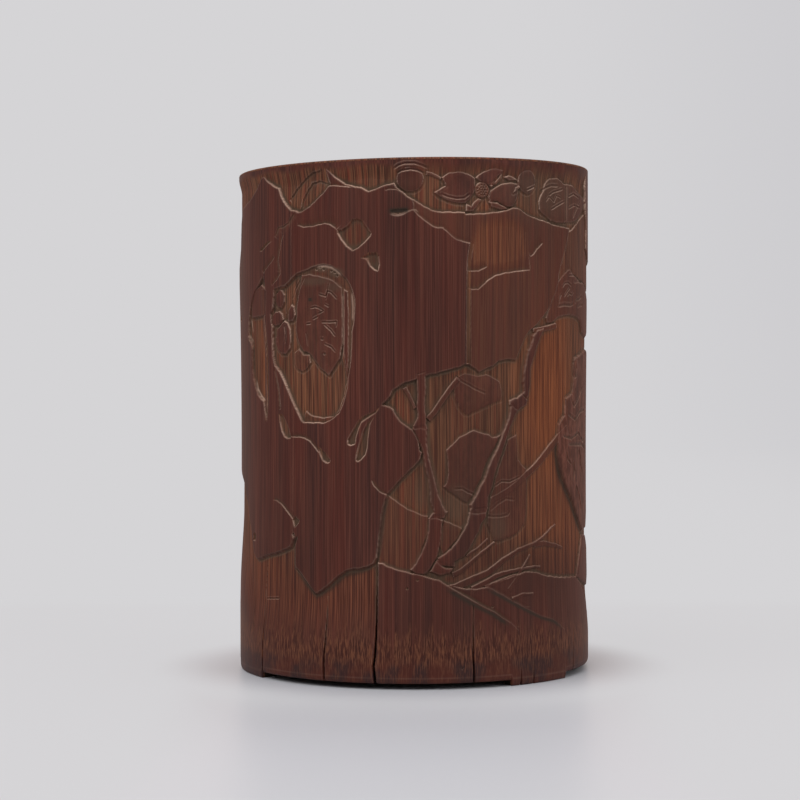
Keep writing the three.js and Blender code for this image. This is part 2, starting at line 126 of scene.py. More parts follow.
ROCK_WINDOW = points("""
    -37.9,122 -34.9,122.7 -32,123.6 -29.6,124.3 -27.3,124.5 -25.2,124 -23.5,123 -21.7,121.5 -20.2,120.1
    -19.1,118.3 -18.2,116 -17.7,114.2 -17.7,110.6 -18,107.7 -18.6,104.8 -18.8,100.4 -19.1,95.9 -19.8,92.1
    -20.1,88.6 -20.8,85.9 -21.7,83.3 -22.9,80.9 -24.4,79.6 -26.1,78.6 -27.6,78 -35.2,78 -36.4,78.6
    -37.1,79.8 -38.5,82.1 -40.2,84.6 -42.3,88.3 -43.8,90.6 -45.5,93 -47.9,94.8 -48.8,97.4 -49.1,101.5
    -49.1,106.2 -49.9,110.4 -48.5,112.1 -48.3,115.1 -47.9,117.7 -45.2,118.3 -42.6,118.6 -40.8,119.8""")
WINDOW_INNER = points("""
    -37.9,121.5 -33.2,121.7 -29.6,121.1 -26.7,120.1 -24.4,118.9 -22,117.3 -21.4,114.8 -21.3,110.6
    -21.4,101.5 -21.7,98.9 -22,96.8 -21.4,95.1 -20.8,92.4 -20.4,90.4 -21.4,86 -23,82 -24.4,79.9 -28.2,79.4
    -31.1,79.7 -33.2,80.3 -34.8,81.3 -35.5,80.4 -35.6,78.2 -36.4,78.7 -38.5,82.1 -40.2,84.6 -42.3,88.3
    -43.8,90.6 -45.5,93 -47.9,94.8 -48.8,97.4 -49.1,101.5 -49.1,106.2 -49,110.4 -47.5,117 -42.6,118.2""")
WINDOW_STRIP = points("""
    -21.2,117.2 -21.3,108 -21.3,99 -20.7,94 -20,91.6 -19.8,96 -19.7,104 -19.6,110 -19.9,116.4""")
ROCK_POCKET = points("""
    -53.8,121.7 -56.4,119.5 -58.5,117.7 -60.8,115.6 -63.2,113 -64.4,110.4 -64.9,108.3 -65.5,105.6
    -65.6,104.2 -65.3,102.9 -63.4,101.8 -62.6,99.8 -62.6,96.8 -62.4,93.9 -61.8,90.9 -60.3,88.3 -58.5,86.2
    -56.6,84.9 -54.5,84.2 -52.6,78 -51.8,84 -51.5,92 -51.8,100
    -53.5,110.1 -52.9,112.1 -52.3,116 -52.9,118.9""")
POCKET_PATCH = points("""
    -62.6,109.4 -57,109.7 -53,110.1 -52.4,114 -52.2,117.5 -55.4,119.4 -59.4,117.6 -62.8,113.4""")

# A narrow cut down the edge of the rock's flank, a worn hollow at its top, and chips in the skin
FLANK_STRIP = points("""
    15.8,95.3 17.3,95 17.1,105 17.1,118 17.3,126 18,130.3 16.9,130.6 16.3,126 16,118 15.8,105""")
FLANK_SCOOP = points("""
    17.6,124.6 17.8,131 20,136 26,137.6 32,137.4 35.6,134 36,128 33,124.6 26,124 21,124.2""")
SPECKS = points("""
    -2,29.7 24,23.8 1,32.2 14.2,6.2 -30.4,123.2 -29.1,123.7 -27.9,123.1 -25.2,122.6 -24.1,122.1
    -23.3,121.2""")

# Hollows: outline, depth, and how gently the upper side slopes in
PITS = drawn(
    ("""
    -23.2,134.8 -21.7,134.8 -19.9,135.9 -18.5,137.6 -16.7,138 -15.1,137.4 -13.8,135.4 -12.3,133.3
    -12.6,132.4 -14.4,130.6 -16.4,129 -18.2,128.2 -20.2,129.6 -22,131.7 -23.2,133.6""", 1.0, 0.5),
    ("""
    -13.3,127.9 -10.8,128 -9.9,126.8 -9.8,124.2 -10.4,122.1 -11.7,122.6
    -13,123.7 -14.1,125.5 -16,126.2""", 1.0, 1.0),
    ("""
    -7.1,139.9 -5.1,140.6 -3.4,140.6 -1.5,140.4 -0.3,140 -1.4,139.7
    -2.8,139 -4.5,138.5 -6.5,138.9""", 0.5, 0.3),
    ("""
    -9.4,83.3 -12,81.4 -13.8,80.8 -15.8,79.8 -17,78.3 -17.9,76.8 -20.2,73 -20.2,71.7 -19.1,71.2 -17.6,71.7
    -17.3,73.6 -16.4,76.2 -15.5,78 -11.1,80.8""", 0.7, 0.5),
    ("""
    -9.9,81.5 -11.7,79.8 -12.9,77.4 -13.5,73.6 -13.8,70.6 -14.4,68.6 -15.8,67.1 -17,66.4 -17.6,67.1
    -17.3,68.9 -16.4,72.1 -15.5,75.1 -14.1,78""", 0.75, 0.5),
    ("""
    -46.3,80.5 -44.1,80.4 -42.6,78.3 -41.4,76 -40.5,73.1 -42.3,72.9
    -43.8,73.6 -44.9,75.1 -46,78""", 0.75, 0.6),
    ("""
    -30.2,71.5 -28.8,70.4 -27,68.9 -25.7,67.1 -25.8,66.2 -27,65.9
    -28.5,66.7 -29.5,68.3 -30.4,70.1""", 0.6, 0.6),
    ("-38.9,50.3 -36.9,48.9 -37.3,48 -39.1,46.4 -39.6,47.4 -40.2,48.9", 0.9, 0.5),
    ("""
    -56.1,129.5 -54.4,129.3 -52.3,130.4 -50.2,131.4 -48.2,132.3
    -50.2,132.6 -52.6,131.8 -54.9,130.4""", 0.45, 0.2),
    ("-78.6,109 -76,108.4 -74,109.5 -75.4,110.8 -78.2,110.6", 1.4, 0.1),
    ("-62.2,41.4 -60.2,41.2 -59.4,42.8 -60.4,44.2 -61.8,43.4", 0.7, 0.4),
    ("-40.3,44.7 -39.3,45.1 -38.9,44 -39.7,43.3", 1.2, 0.1),
    ("61.6,96.5 63.6,96.6 64.8,94 64.4,91 62.6,90.6 61.4,93", 0.5, 0.5),
)

# The earth bank in three slopes, each lower than the one to its left, and a rock beyond the right side
BANK_LINE = points("10.1,30.3 12.7,28.8 15.6,27.1 18.6,25.4 21.5,23.8 24.5,22.4 27.4,20.4 30.1,18.8")
BANK_LEFT = np.concatenate([
    points("-11.1,-4 -10.9,24 -10.8,37.2 -9.6,37.1 -7.3,36 -4.6,35.1 -2,34.5 0.4,34"),
    points("2.7,33.5 5.1,32.6 7.1,32.3 8.9,31.2"), BANK_LINE, points("33,16.5 36,-4"),
])
BANK_MIDDLE = points("""
    6,-4 6,30.2 10.1,30.5 11.5,30.4 14,29.7 16,29.4 18,29.3 20,29.4 22,29.7 23.5,29.2 25,28.4 27,27.4
    29,26.3 31,25.2 33,24.2 35.5,23 38,21.9 40,21 42,20.2 45,19.4 48,18.6 54,15 55,-4""")
BANK_RIGHT = points("""
    18,-4 18,28 21.8,29.6 24,31 28,31.8 33,32.9 36,33.6 40,33.2 45,31.8 48.5,31.3 52,30.8 56,30.5 60,30.3
    64,30 66,28.8 68,27.5 72,24 78,18 83,-4""")
FAR_ROCK = points("74,157 72.5,150 73,143 75,137 74,131 79,128 90,126 101,132 108,143 112,157")

# Jointed stems of the plant on the right, from joint to joint: outline, and width of its edge
STEM_PARTS = drawn(
    ("""
    0.8,92.4 1.1,85.6 0.8,82.7 1.2,79.8 -0.2,77.1 0.8,76.6 2.2,77 3.6,77.2 3.7,79.5 3.3,81.2 3.3,85.1
    3.6,88.6 3.4,93""", 0.4),
    ("""
    -0.3,76.2 1.2,73 2.4,69.8 3.3,65.1 4.2,61.5 4.6,58 4.9,54.5 5.9,51.8 5.5,51.2 7,50.9 9.4,51.1 9.8,51.8
    8.3,54.5 7.1,57.4 6.5,60.4 5.6,63.9 4.5,67.7 3.9,72.1 3.9,76.3 2,76.7""", 0.95),
    ("""
    4.4,50.1 4.2,46.2 3.3,42.7 1.8,39.5 0.4,36.8 -1.1,35.1 0.4,34 2.9,33.6 4.8,35.3 5.6,36.8 6.8,38.6
    7.7,42.7 8.1,45.6 8.6,49.6 6.6,50.4""", 0.6),
    ("""
    39,103.5 38.3,101 37.1,99.2 36.2,96.2 35.4,93 35.1,89.8 35.4,87.1 34.6,86.2 36.6,84.6 37.4,85.6
    38.1,88.6 38.3,93.9 39.5,96.8 40.9,100.4 42.7,103.6 44,106 41,105.6""", 1.1),
    ("30.3,84.1 32.1,84.7 34.8,86.4 36.8,84.4 36.5,83 34.8,82.2 33.3,81.4 32,81.4 30.6,83", 0.4),
    ("""
    30.6,83.4 30.1,80.1 28.6,76.8 27.4,74.2 25.9,70.6 24.5,68.3 23,65.4 21.5,61.5 20.1,59.2 18.6,56.5
    17,53.9 17.2,52.3 19.4,52.6 22.6,52.6 23,56.2 24.2,58.9 24.8,61.8 26.2,65.6 27.7,69.2 29.2,73 30.4,76.2
    31.8,78.9 33.3,81.6""", 1.0),
    ("""
    16.6,51.6 15.9,48.6 14.8,46.5 13.3,44.2 10.9,41.2 8.6,39.5 6.8,38.4 8,37.2 10,36.2 11.6,36.6 12.1,37.4
    15.1,38.9 16.8,41.2 18.3,43.9 19.8,46.2 20.6,48.6 22.1,50.2 22.2,51.8 19.4,51.4""", 0.5),
    ("6.6,37.9 7.6,36.6 9.6,35.5 11.8,35.6 10.6,34 7.6,33.4 4.6,34.6", 0.5),
)

# The thin rings where two lengths of a stem meet
JOINTS = [points(text) for text in (
    "16.8,51.2 22.3,51.4 22.7,52.9 17.1,52.8", "4.2,49.9 9,50.1 9.9,52 5.6,51.8",
    "6.4,38.2 12.2,37.4 12.1,35.8 7.5,36.3", "-0.3,75.9 3.9,76.1 3.7,77.5 -0.1,77.3",
    "30.2,83 36.7,83 37,84.7 32.4,85.2 30.2,84.4",
)]

# Leaves and blossoms: outline, how far the form swells from its edge, level, and share of skin cut away
LEAVES = drawn(
    ("""
    11.8,88.6 12.4,85.4 13.6,82.7 15.4,80.6 16.5,80.4 19.8,81.8 22.1,82.7 25.1,83.9 27.4,84.6 27.6,87.1
    26.8,90.1 22.4,92.1 19.9,91.5 15.4,92.4 13,91.2""", 2.5, -0.55, 0.45),
    ("""
    9.8,70.1 12.1,72.1 13.6,73.7 15.6,74.6 18.3,75.9 20.1,75.1 23,74.5 24.5,73.5 27.2,74.2 25.2,70.6
    23.6,68.3 22,65.4 20.6,61.5 19.1,59.2 17.6,56.5 16.2,54.5 15.1,54.9 12.7,56.5 10.6,58 8.9,59.3 9.8,60.4
    10.4,63.3 10.2,66.2""", 1.0, -0.45, 0.3),
    ("""
    29.8,72.9 31.5,73.6 33.1,74.3 33.3,70.6 33.6,66.8 34.9,65.4 36.6,64 37,60 36.8,56 36.7,51.5 36,47.6
    33,45 30.4,44 26.2,43 24.8,43.3 22.6,48.3 23.3,53 23.6,56.2 24.8,58.9
    25.5,61.8 27,65.6 28.5,69.2""", 1.0, -0.5, 0.55),
    ("""
    -37.6,115.1 -38.2,112.1 -38.5,108.3 -38.8,105.6 -38.2,103 -37,100.6 -35.5,98.9 -34.1,98.7 -32.6,97.7
    -30.8,95.6 -29.4,93.9 -27.6,92.7 -26.4,91.8 -25.2,93.3 -23.8,95.1 -22.6,96.7 -22.2,98.9 -21.6,101.5
    -21.5,110.6 -21.6,115 -21.8,117.6 -24.2,119.6 -26.7,120.6 -29.6,121.3
    -33.2,121.9 -36,121.6""", 0.5, -0.4, 0.3),
    ("""
    -45.6,117.6 -47.4,116.2 -47.9,114 -46.6,112.2 -44.8,112.1 -43.5,113.8
    -43.5,116 -44.4,117.3""", 1.6, LEAF, 0.1),
    ("""
    -49.6,109.5 -48.2,110.9 -46.1,111.1 -44.6,110.4 -44.1,108.6
    -45.5,107.1 -48.2,106.8 -49.6,107.4""", 1.6, LEAF, 0.1),
    ("""
    -47.3,105.9 -45.5,106.8 -43.8,108.3 -42.3,107.7 -41.1,105.6 -40.8,102.7 -41.4,99.8 -43.2,98.3 -45.2,98.3
    -47.3,99.8 -48.2,102.1""", 1.6, LEAF, 0.1),
    ("-41.7,111.2 -40.4,113 -39.4,112.4 -38.8,109.8 -39.9,108 -42,108", 1.2, LEAF, 0.1),
    ("""
    -39.4,98.6 -37.6,99.8 -35.8,98 -33.5,98 -33,95.6 -34.4,93.9
    -36.1,93.1 -38.2,93.6 -39.4,95.1""", 1.8, -0.45, 0.7),
    ("""
    6.2,145.1 9.5,147.1 8.3,149.5 10.4,150.8 13,151.2 15.1,151 17.4,150.2 18.6,149.5 18.6,146.8 18.3,145.1
    16.8,143.3 15.6,142.1 12.7,142.1 9.8,142.9 7.7,143.9""", 1.4, -0.3, 0.1),
    ("""
    18.6,149.6 19.9,150.5 21.5,151.5 23.6,152.3 25.4,152.6 27.7,152 27.1,150.9 25.4,148.9 23.9,146.8
    22.4,147.7 20.4,148.4""", 1.0, -0.3, 0.1),
    ("22.8,147.4 25,149.7 27.4,151.2 27.4,149.6 25.6,147.8", 0.6, -0.45, 0.8),
    ("""
    26.4,147.7 28.6,148.4 31.2,148.6 34.2,148.3 33.3,146.8 33,144.8 32.4,143 30.9,141.5 29.2,141.3
    27.4,142.1 25.9,142.9 23.3,142.7 22.7,144.2 23.6,145.9""", 1.2, -0.35, 0.2),
    ("23,142.7 23.9,141.2 27.4,140.4 30.1,140.8 27.4,141.8 25.9,142.6", 0.6, LEAF, 0.3),
    ("15.6,139.6 15.8,142 17.4,141.2 18.3,142.6 19.6,143.6 20.6,143.2 19.4,141.4 18,139.9", 0.6, LEAF, 0.3),
    ("28,150.1 29.5,150.6 31.5,150.3 33,149.4 30,149.2", 0.5, LEAF, 0.2),
    ("31.4,145.6 32.6,146.2 34.4,147.7 33.2,147.8 32,147.2", 0.4, -0.15, 0.2),
    ("""
    44,148.6 45,149.8 46.5,150.6 48.6,150.9 50.9,150.9 52.7,150.2 54.5,149.5 56.8,149.6 60.4,149.5
    63.3,148.3 66.2,147.4 71,146.6 73,145 69.6,142.6 65.9,140.2 61.8,138.6 56,138 50.4,137.7 47,138.1
    42.4,140.4 41.8,141.2 41.5,143.6 42.4,145.4 43.3,146.4""", 1.6, LEAF, 0.35),
    ("""
    50.9,120 52.7,121.2 54.8,122.6 56.8,123.6 58.3,123.9 59.8,122.7 61.5,122.2 64.5,121.1 67.4,120.6 72,120
    80,116 84,109 84,104.5 76,103.4 69.8,105.1 67.4,108.6 63,109.8 58.6,110.1 54.2,109.8 50.9,109.2
    48.3,107.7 45.6,107.4 45,109 46.5,112.1""", 1.2, -0.3, 0.35),
)
LOW_LEAF = points("63.6,30 65.2,33 67,36.2 68.8,39.6 70.4,42.4 76,42 82,38 84,30 78,26 70,28")
RIGHT_LEAF = points("""
    51.2,71.2 51.4,69.2 51.8,66.2 52.4,63.9 53.6,61.5 55.1,59.8 56.8,57.4 59.2,55.1 61.5,52.7 63.6,49.8
    65.9,47.4 68.3,45.4 70.6,43.7 78,44 86,52 90,66 88,82 90,93 84,99.5 76,99.8 70,98.5 63,97 62.1,95.1
    62.4,91.5 60.9,86.2 56.2,84.8 55.6,79.8 52,77""")
BUDS = [(-1.0, 149.0, 4.0, 3.7), (36.7, 149.2, 3.4, 3.6)]
BLOSSOM_HEART = (20.8, 146.1, 2.3)

PLANES = [points(text) for text in (
    """
    56.5,135 60.2,136.2 61.8,137.1 63.9,138.1 65.9,139.2 68.9,140.4 78,143 88,139 93,128 84,118 58.3,123
    50.9,120 51.2,122.7 53,126.8""",
    """
    -10.8,36.5 -10.1,45.1 -9.4,51.5 -7.7,57 -5.2,55.1 -2.3,53.1 0,52.1 2.4,51.1 4.2,50.8 4.2,46 1.8,39.5
    -1.1,34""",
    "8.9,49.5 11.2,48.6 14.5,47.1 13.3,44.2 8.6,39.5 7.2,42.7",
)]

# Blades of grass, twigs and the long leaning stalk: upper edge, width at its two ends, and level
BLADES = drawn(
    ("""
    10.6,30.6 12.1,30.9 17.1,32.9 22.4,34.7 27.4,37.9 33.3,40.6 40,42.2
    43.9,43.9 47.7,46.2 49.9,47""", 2.4, 0.5, -0.45),
    ("40,42.2 44.2,42.3 46.8,41.7 49.8,41.2 53.9,39.9", 1.9, 0.9, -0.5),
    ("17.1,29.9 20.6,31.3 25.4,33.5 28,34.1 33.3,34.7 39.8,35.1 42.4,34.9", 1.9, 0.6, -0.45),
    ("21.5,30.1 25.9,31.5 30.6,32.8 35,33.2", 1.3, 0.6, -0.45),
    ("11.2,34.2 13.6,35.1 17.4,37.9 20.4,40.1 24.9,43", 1.6, 0.6, -0.5),
    ("15.6,39.2 17.4,40.4 19.5,41.5 22.6,44", 0.9, 0.5, -0.55),
    ("29.2,28.8 31.2,30.9 35.4,35.6 38,38.7", 1.3, 0.6, -0.5),
    ("30.6,26.2 34.5,27.3 38.9,27.1", 1.2, 0.6, -0.1),
    ("""
    23.6,55.9 26.2,57 30.1,58.9 33.3,60.9 36.5,63.3 40,65.5 46.8,70.9
    52.7,74.9 56.2,76.7""", 1.6, 2.6, -0.4),
    ("3.6,79.5 5.6,81.8 7.7,84.8 9.8,87.7 12.9,91.5", 1.7, 1.5, -0.3),
    ("-2.2,88.6 -0.5,85.4 0.8,82.4", 1.2, 0.9, -0.3),
    ("39.2,105.8 42.4,106.2 45.1,106.6 50,107.6", 1.2, 1.8, -0.3),
    ("3.9,151.2 5.4,150.9 7.1,150.1 8.3,149.5", 1.0, 0.8, -0.4),
    ("-53.9,118 -54,108 -53.2,98 -53.3,88 -53,78", 1.3, 1.0, -0.5),
)

# Pale lines of wear and painted highlight, and dark lines of painted shadow under edges, along the carving:
# points, width and strength
WORN_AND_LIT_LINES = drawn(
    ("-21.5,97.5 -21.3,104 -21.4,110 -21.6,116", 0.3, 0.6),
    ("-18.4,108 -18.3,112 -18.6,116", 0.3, 0.5),
    ("-30,123.9 -27.3,124.1 -25.2,123.6 -23.5,122.6 -22,121.3", 0.35, 0.8),
    ("-64.5,109 -63.9,107 -63.3,105", 0.35, 0.6),
    ("-66,104 -64.6,103.1 -63.2,102.3", 0.35, 0.6),
    ("-60.8,90.2 -59.4,87.6 -57,85.6 -54.6,84.3", 0.22, 0.8),
    ("-6.8,138.8 -5.6,138.4 -4.5,138.3 -3,138.7 -1.6,139.5 -0.4,140 0.7,140 1.3,139.4", 0.17, 0.7),
)
# Painted shadow: dark lines under edges and overhangs
SHADOW_LINES = drawn(
    ("9.6,29.4 12.2,27.9 15.1,26.2 18,24.6 21,23 24,21.6 26.8,19.7 29.4,18.2", 0.7, 0.9),
    ("50.4,73 50.6,68 51.8,63.4 54,59.6 58,55.2 62.4,50.2 67,45.6 70.4,42.8", 1.1, 0.8),
    ("-36.3,78.4 -35.3,79 -33.6,79.6", 0.7, 0.4),
    ("-39,34.2 -34.6,29.6 -30.8,26.5 -26,29 -21,33.2 -16.7,34.2 -12.2,35.8", 0.75, 0.6),
    ("-10.5,38 -10,45 -9.2,51 -8,56.2", 0.5, 0.6),
    ("-7.2,139.7 -5.4,139.8 -3.6,139.9 -1.4,140.1", 0.75, 1.2),
    ("-32.8,114.9 -32.8,113.8", 0.7, 1.1),
    ("22,29 25,27.6 29,25.5 33,23.4 38,21.1 42,19.4 48,17.8 52,15.4", 0.55, 0.9),
)

# Steps in the rock's face: the surface on the upper side dips down to the line, over some reach
STEPS = drawn(
    ("""
    15.9,117.2 19.5,117 20.9,118.3 23,120.1 25.1,121.2 27.4,121.8
    30.4,122.3 33.3,122.7 37.6,123.1""", 9.0, 0.4),
    ("15.9,122.4 19.5,122.4 20.6,123 22.4,123.7", 5.0, 0.3),
    ("37.7,127 38.9,127.7 40.6,129.5 43,131.2", 3.0, 0.3),
    ("""
    -37.3,136.4 -34.9,135.9 -32,135.9 -29.4,136.3 -27.3,136.6 -25.5,136.3
    -24,135.4 -23.4,134.6""", 3.0, 0.4),
    ("-38.2,140.5 -40.1,138.6 -41.1,137.4 -43.2,136.5 -45.5,136.2 -46.4,135.1 -47.3,133.6", 3.0, 0.34),
    ("-27.9,152.4 -31.4,151.8 -34.6,150.2 -38.2,147.1 -41.1,144.2", 3.0, 0.5),
    ("-26.4,147.6 -24,147.6 -22,147.4 -20.4,147.2 -18.6,146.9", 2.0, 0.35),
    ("-26.1,148.3 -29.6,149.2 -32,148.6 -33.8,146.8 -35.7,143.9 -36.7,140.6", 3.0, 0.5),
    ("""
    -48.8,118.9 -46.4,120.6 -44.6,122.4 -44.9,123.9 -45.8,126.2
    -45.1,128.6 -44.1,132.1 -43.2,133.9""", 2.4, 0.4),
    ("-53.2,122.7 -52.3,123.9 -49.9,125.4 -47.3,127.4", 2.2, 0.42),
    ("-41,73.6 -37.6,73.7 -34.9,73.4 -32.9,72.4 -31.4,70.9 -29.8,69.2", 1.6, 0.4),
    ("-45.2,81.8 -45.8,85.6 -46.4,89.2 -47.3,92.1 -47.9,94.5", 1.2, 0.6),
    ("-8.4,145.8 -6.6,146.1 -4.9,146 -3.6,145.3", 1.0, 0.25),
    ("-49.1,54.5 -47.3,54.3 -45.5,53.7 -43.2,52.1 -41,50.3 -39.6,48.8", 1.6, 0.4),
    ("-12.6,61.2 -11.7,59.5 -10.2,58 -7.9,57", 1.8, 0.4),
)

# Fine engraved lines, that is veins, calyx lines and joints: width, depth, and the lines that have them
ENGRAVED = [(points(text), width, depth) for width, depth, texts in (
    (0.5, 0.3, "-5.8,152 -4.4,153 -2.6,153.6 0.4,153.6 2.4,153 4.2,152.2"),
    (0.45, 0.3, "-4.8,150.8 -3.5,151.5 -0.8,151.9 1.2,151.6 3,150.8"),
    (0.4, 0.25, "36.5,146.7 40,148; 24.8,148.6 26,149.8 27,151"),
    (0.8, 0.36, "55.4,149.4 55.3,144 55.3,138"),
    (0.45, 0.2, "8.4,144.6 10.2,143.9 12.8,143.4 15.2,143.6 16.8,144.8; 60,139.6 62.6,142.2 66,144.8"),
    (0.35, 0.22, "-53.3,24.3 -50,24.6 -46.7,24.9"),
    (0.5, 0.22, "42.6,146.6 44.4,147.8 47,148.6 50.4,148.7"),
    (0.7, 0.3, "54,73.5 60,72.5 66,74 71,71.5 74,72"),
    (0.8, 0.3, "58,70.8 63,70.6 70,70.4 75,69; 66.5,69 68.2,66.8 69,64 70.6,62"),
    (0.7, 0.28, "61.8,65.4 62.6,62.4 61.6,59.6; 58,79.8 63,78.2 68,80.6 74,81"),
    (0.6, 0.25, "56.2,68.6 57.4,66.2 59.6,64.8; 59.6,84.6 62,82.2 66,84.6 70,88"),
    (0.7, 0.25, "63.6,58 66.8,54.6 69.6,50.4"),
    (0.4, 0.22, """
    45.9,145.6 48,146.7 53,147.9; 47.1,141.5 49.8,142.7 53.9,144.2; 56.8,145.9 60.6,147 65,146.2"""),
    (0.4, 0.2, """
    57,142.4 61,143.6 66,143.2; -47.2,106 -47.5,104 -47.3,102; -43.3,106.6 -42.9,104.2 -43.3,101.6;
    54.3,115.6 56,117 57.8,118.3; 25.1,59.2 27.4,60.6 30.4,60.4 33.6,61.6"""),
    (0.35, 0.16, "44.6,143.8 46,145.2 48.4,143.8 49.8,145.8 52,145.2"),
    (0.34, 0.22, """
    -29.6,115.8 -27.1,115.2 -26.5,116.7 -25.3,116.2 -23.5,114.4; -32.6,111.8 -31,112.1 -30.1,111.9 -28,110.9
    -29.9,110.1; -28.7,107.6 -26,107.5 -23.7,107.6 -23.7,106.2; -27.8,106.9 -25.5,105.1 -24.2,103.5;
    -27.8,101.2 -25.5,100.3 -24.1,98.8"""),
    (0.32, 0.16, "-26,119.2 -26.5,116.9 -27.1,114.2"),
    (0.32, 0.18, "-27.6,112.8 -26.2,112.1"),
    (0.34, 0.2, "-31.7,108.5 -30.1,109.2; -34.2,107.1 -32.6,107.3"),
    (0.5, 0.25, "-28.9,102.7 -28.3,102.5; -28.1,98.4 -27.5,98.1"),
    (0.4, 0.16, """
    -35,120.6 -37.2,117 -38.3,113.4; -36.6,120.4 -38.8,117.4 -40,114.8; 53.2,118.4 54.6,119.6 56.6,119.8
    58.8,119; 56.2,115.8 57.8,116.6 59.4,116.2 60.6,117.2; 51.3,113.4 51.6,114.8 52.4,116.2"""),
    (1.7, 0.12, "-29.6,118.5 -29.6,110 -28.6,104 -27.6,97 -26.6,93.5"),
    (0.4, 0.12, "-34.4,104.5 -33.8,100.8"),
    (0.35, 0.2, "-43.1,117.6 -43,114 -43.2,110.6"),
    (0.4, 0.18, "57.2,122.1 59.4,122.2 61.4,122.3"),
    (0.6, 0.22, """
    61,120.2 65,120.6 69,120.3; 50.8,112.6 54.3,113.1 58.4,113 61,113.6; 62.2,113.7 63.4,114.9 65.6,115
    68.5,116"""),
    (0.6, 0.16, "64.6,112.6 66.4,113.2 69.6,113.4"),
    (0.45, 0.18, "12.7,91.5 14.5,90.1 16.8,89 18.3,88.1 22,86.6"),
    (0.45, 0.15, "12.1,58.6 14.5,58.7 16.2,57.7 18.6,56.8"),
    (0.5, 0.1, "23.6,52.1 25.9,53.9 28.9,55.4 32,55"),
    (0.5, 0.16, "22.4,50.6 24.5,50.2 26.8,50.2 29.5,50.6 30.1,51.4"),
) for text in texts.split(";")]

# Drying cracks from the foot: points, width at the foot and depth
CRACKS = drawn(
    ("-11.6,0 -11.9,5 -12.1,6.8 -11.6,10 -11.3,15 -11.1,20 -11.1,26.8 -10.8,34 -10.9,37", 0.7, 2.4),
    ("-27.9,0 -28,6.8 -27.7,11.2 -27.3,15 -27.1,19.4 -26.9,27", 0.55, 1.2),
    ("17.9,0 17.9,5.3 17.6,9.4 17.7,13.5 17.6,19.4 17.7,24.5", 0.6, 1.4),
    ("-54.6,0 -54.6,7.6 -54.2,13.5 -53.9,26.8 -53,35.6", 0.5, 1.2),
    ("33.9,0 33.9,4 34,8", 0.4, 0.8),
    ("38.9,0 38.8,4 38.9,8", 0.4, 0.8),
    ("59.5,0 59.4,8 59.6,16", 0.3, 0.6),
)

# Warmer, dusty and darker parts: middle, half width, half height and strength
WARM_FIELDS = [
    (47, 86, 12, 30, 1.0), (46, 55, 11, 22, 0.6), (-54.5, 98, 3.5, 15, 0.5), (-33, 86, 7, 9, 0.15),
    (-53, 32, 9, 6, 0.5), (27, 130, 13, 12, 0.6), (60, 45, 10, 13, 0.7), (110, 70, 40, 60, 0.5),
    (170, 90, 50, 70, 0.3),
]
DUST_FIELDS = [
    (45, 147, 15, 8, 0.5), (3, 146, 9, 6, 0.15), (-28.8, 123.4, 3, 1, 0.9), (-23.8, 122, 2.4, 1.3, 0.9),
    (-31, 119.7, 6, 1.2, 0.6), (-24.5, 117.8, 3, 1.4, 0.5), (12.5, 53.5, 4, 5, 0.6), (26, 47, 3, 4, 0.5),
    (3, 58, 3, 6, 0.5),
]
DARK_FIELDS = [(14, 60, 22, 30, 0.35), (30, 33, 26, 10, 0.7), (-46, 28, 14, 12, 0.3), (-35, 150, 9, 4, 0.4),
               (8, 20, 24, 10, 0.35)]


def unit(value):
    return np.clip(value, 0, 1)


def smooth(value):
    """A soft rise from 0 to 1."""
    value = unit(value)
    return value * value * (3 - 2 * value)


def tapered(share, rate, least):
    """1 along the middle of a line, and less near its two ends."""
    return unit(np.minimum(share, 1 - share) * rate + least)


def blend(layer, area, value, share):
    layer[area] += (value - layer[area]) * share


def raise_to(layer, area, value):
    layer[area] = np.maximum(layer[area], value)


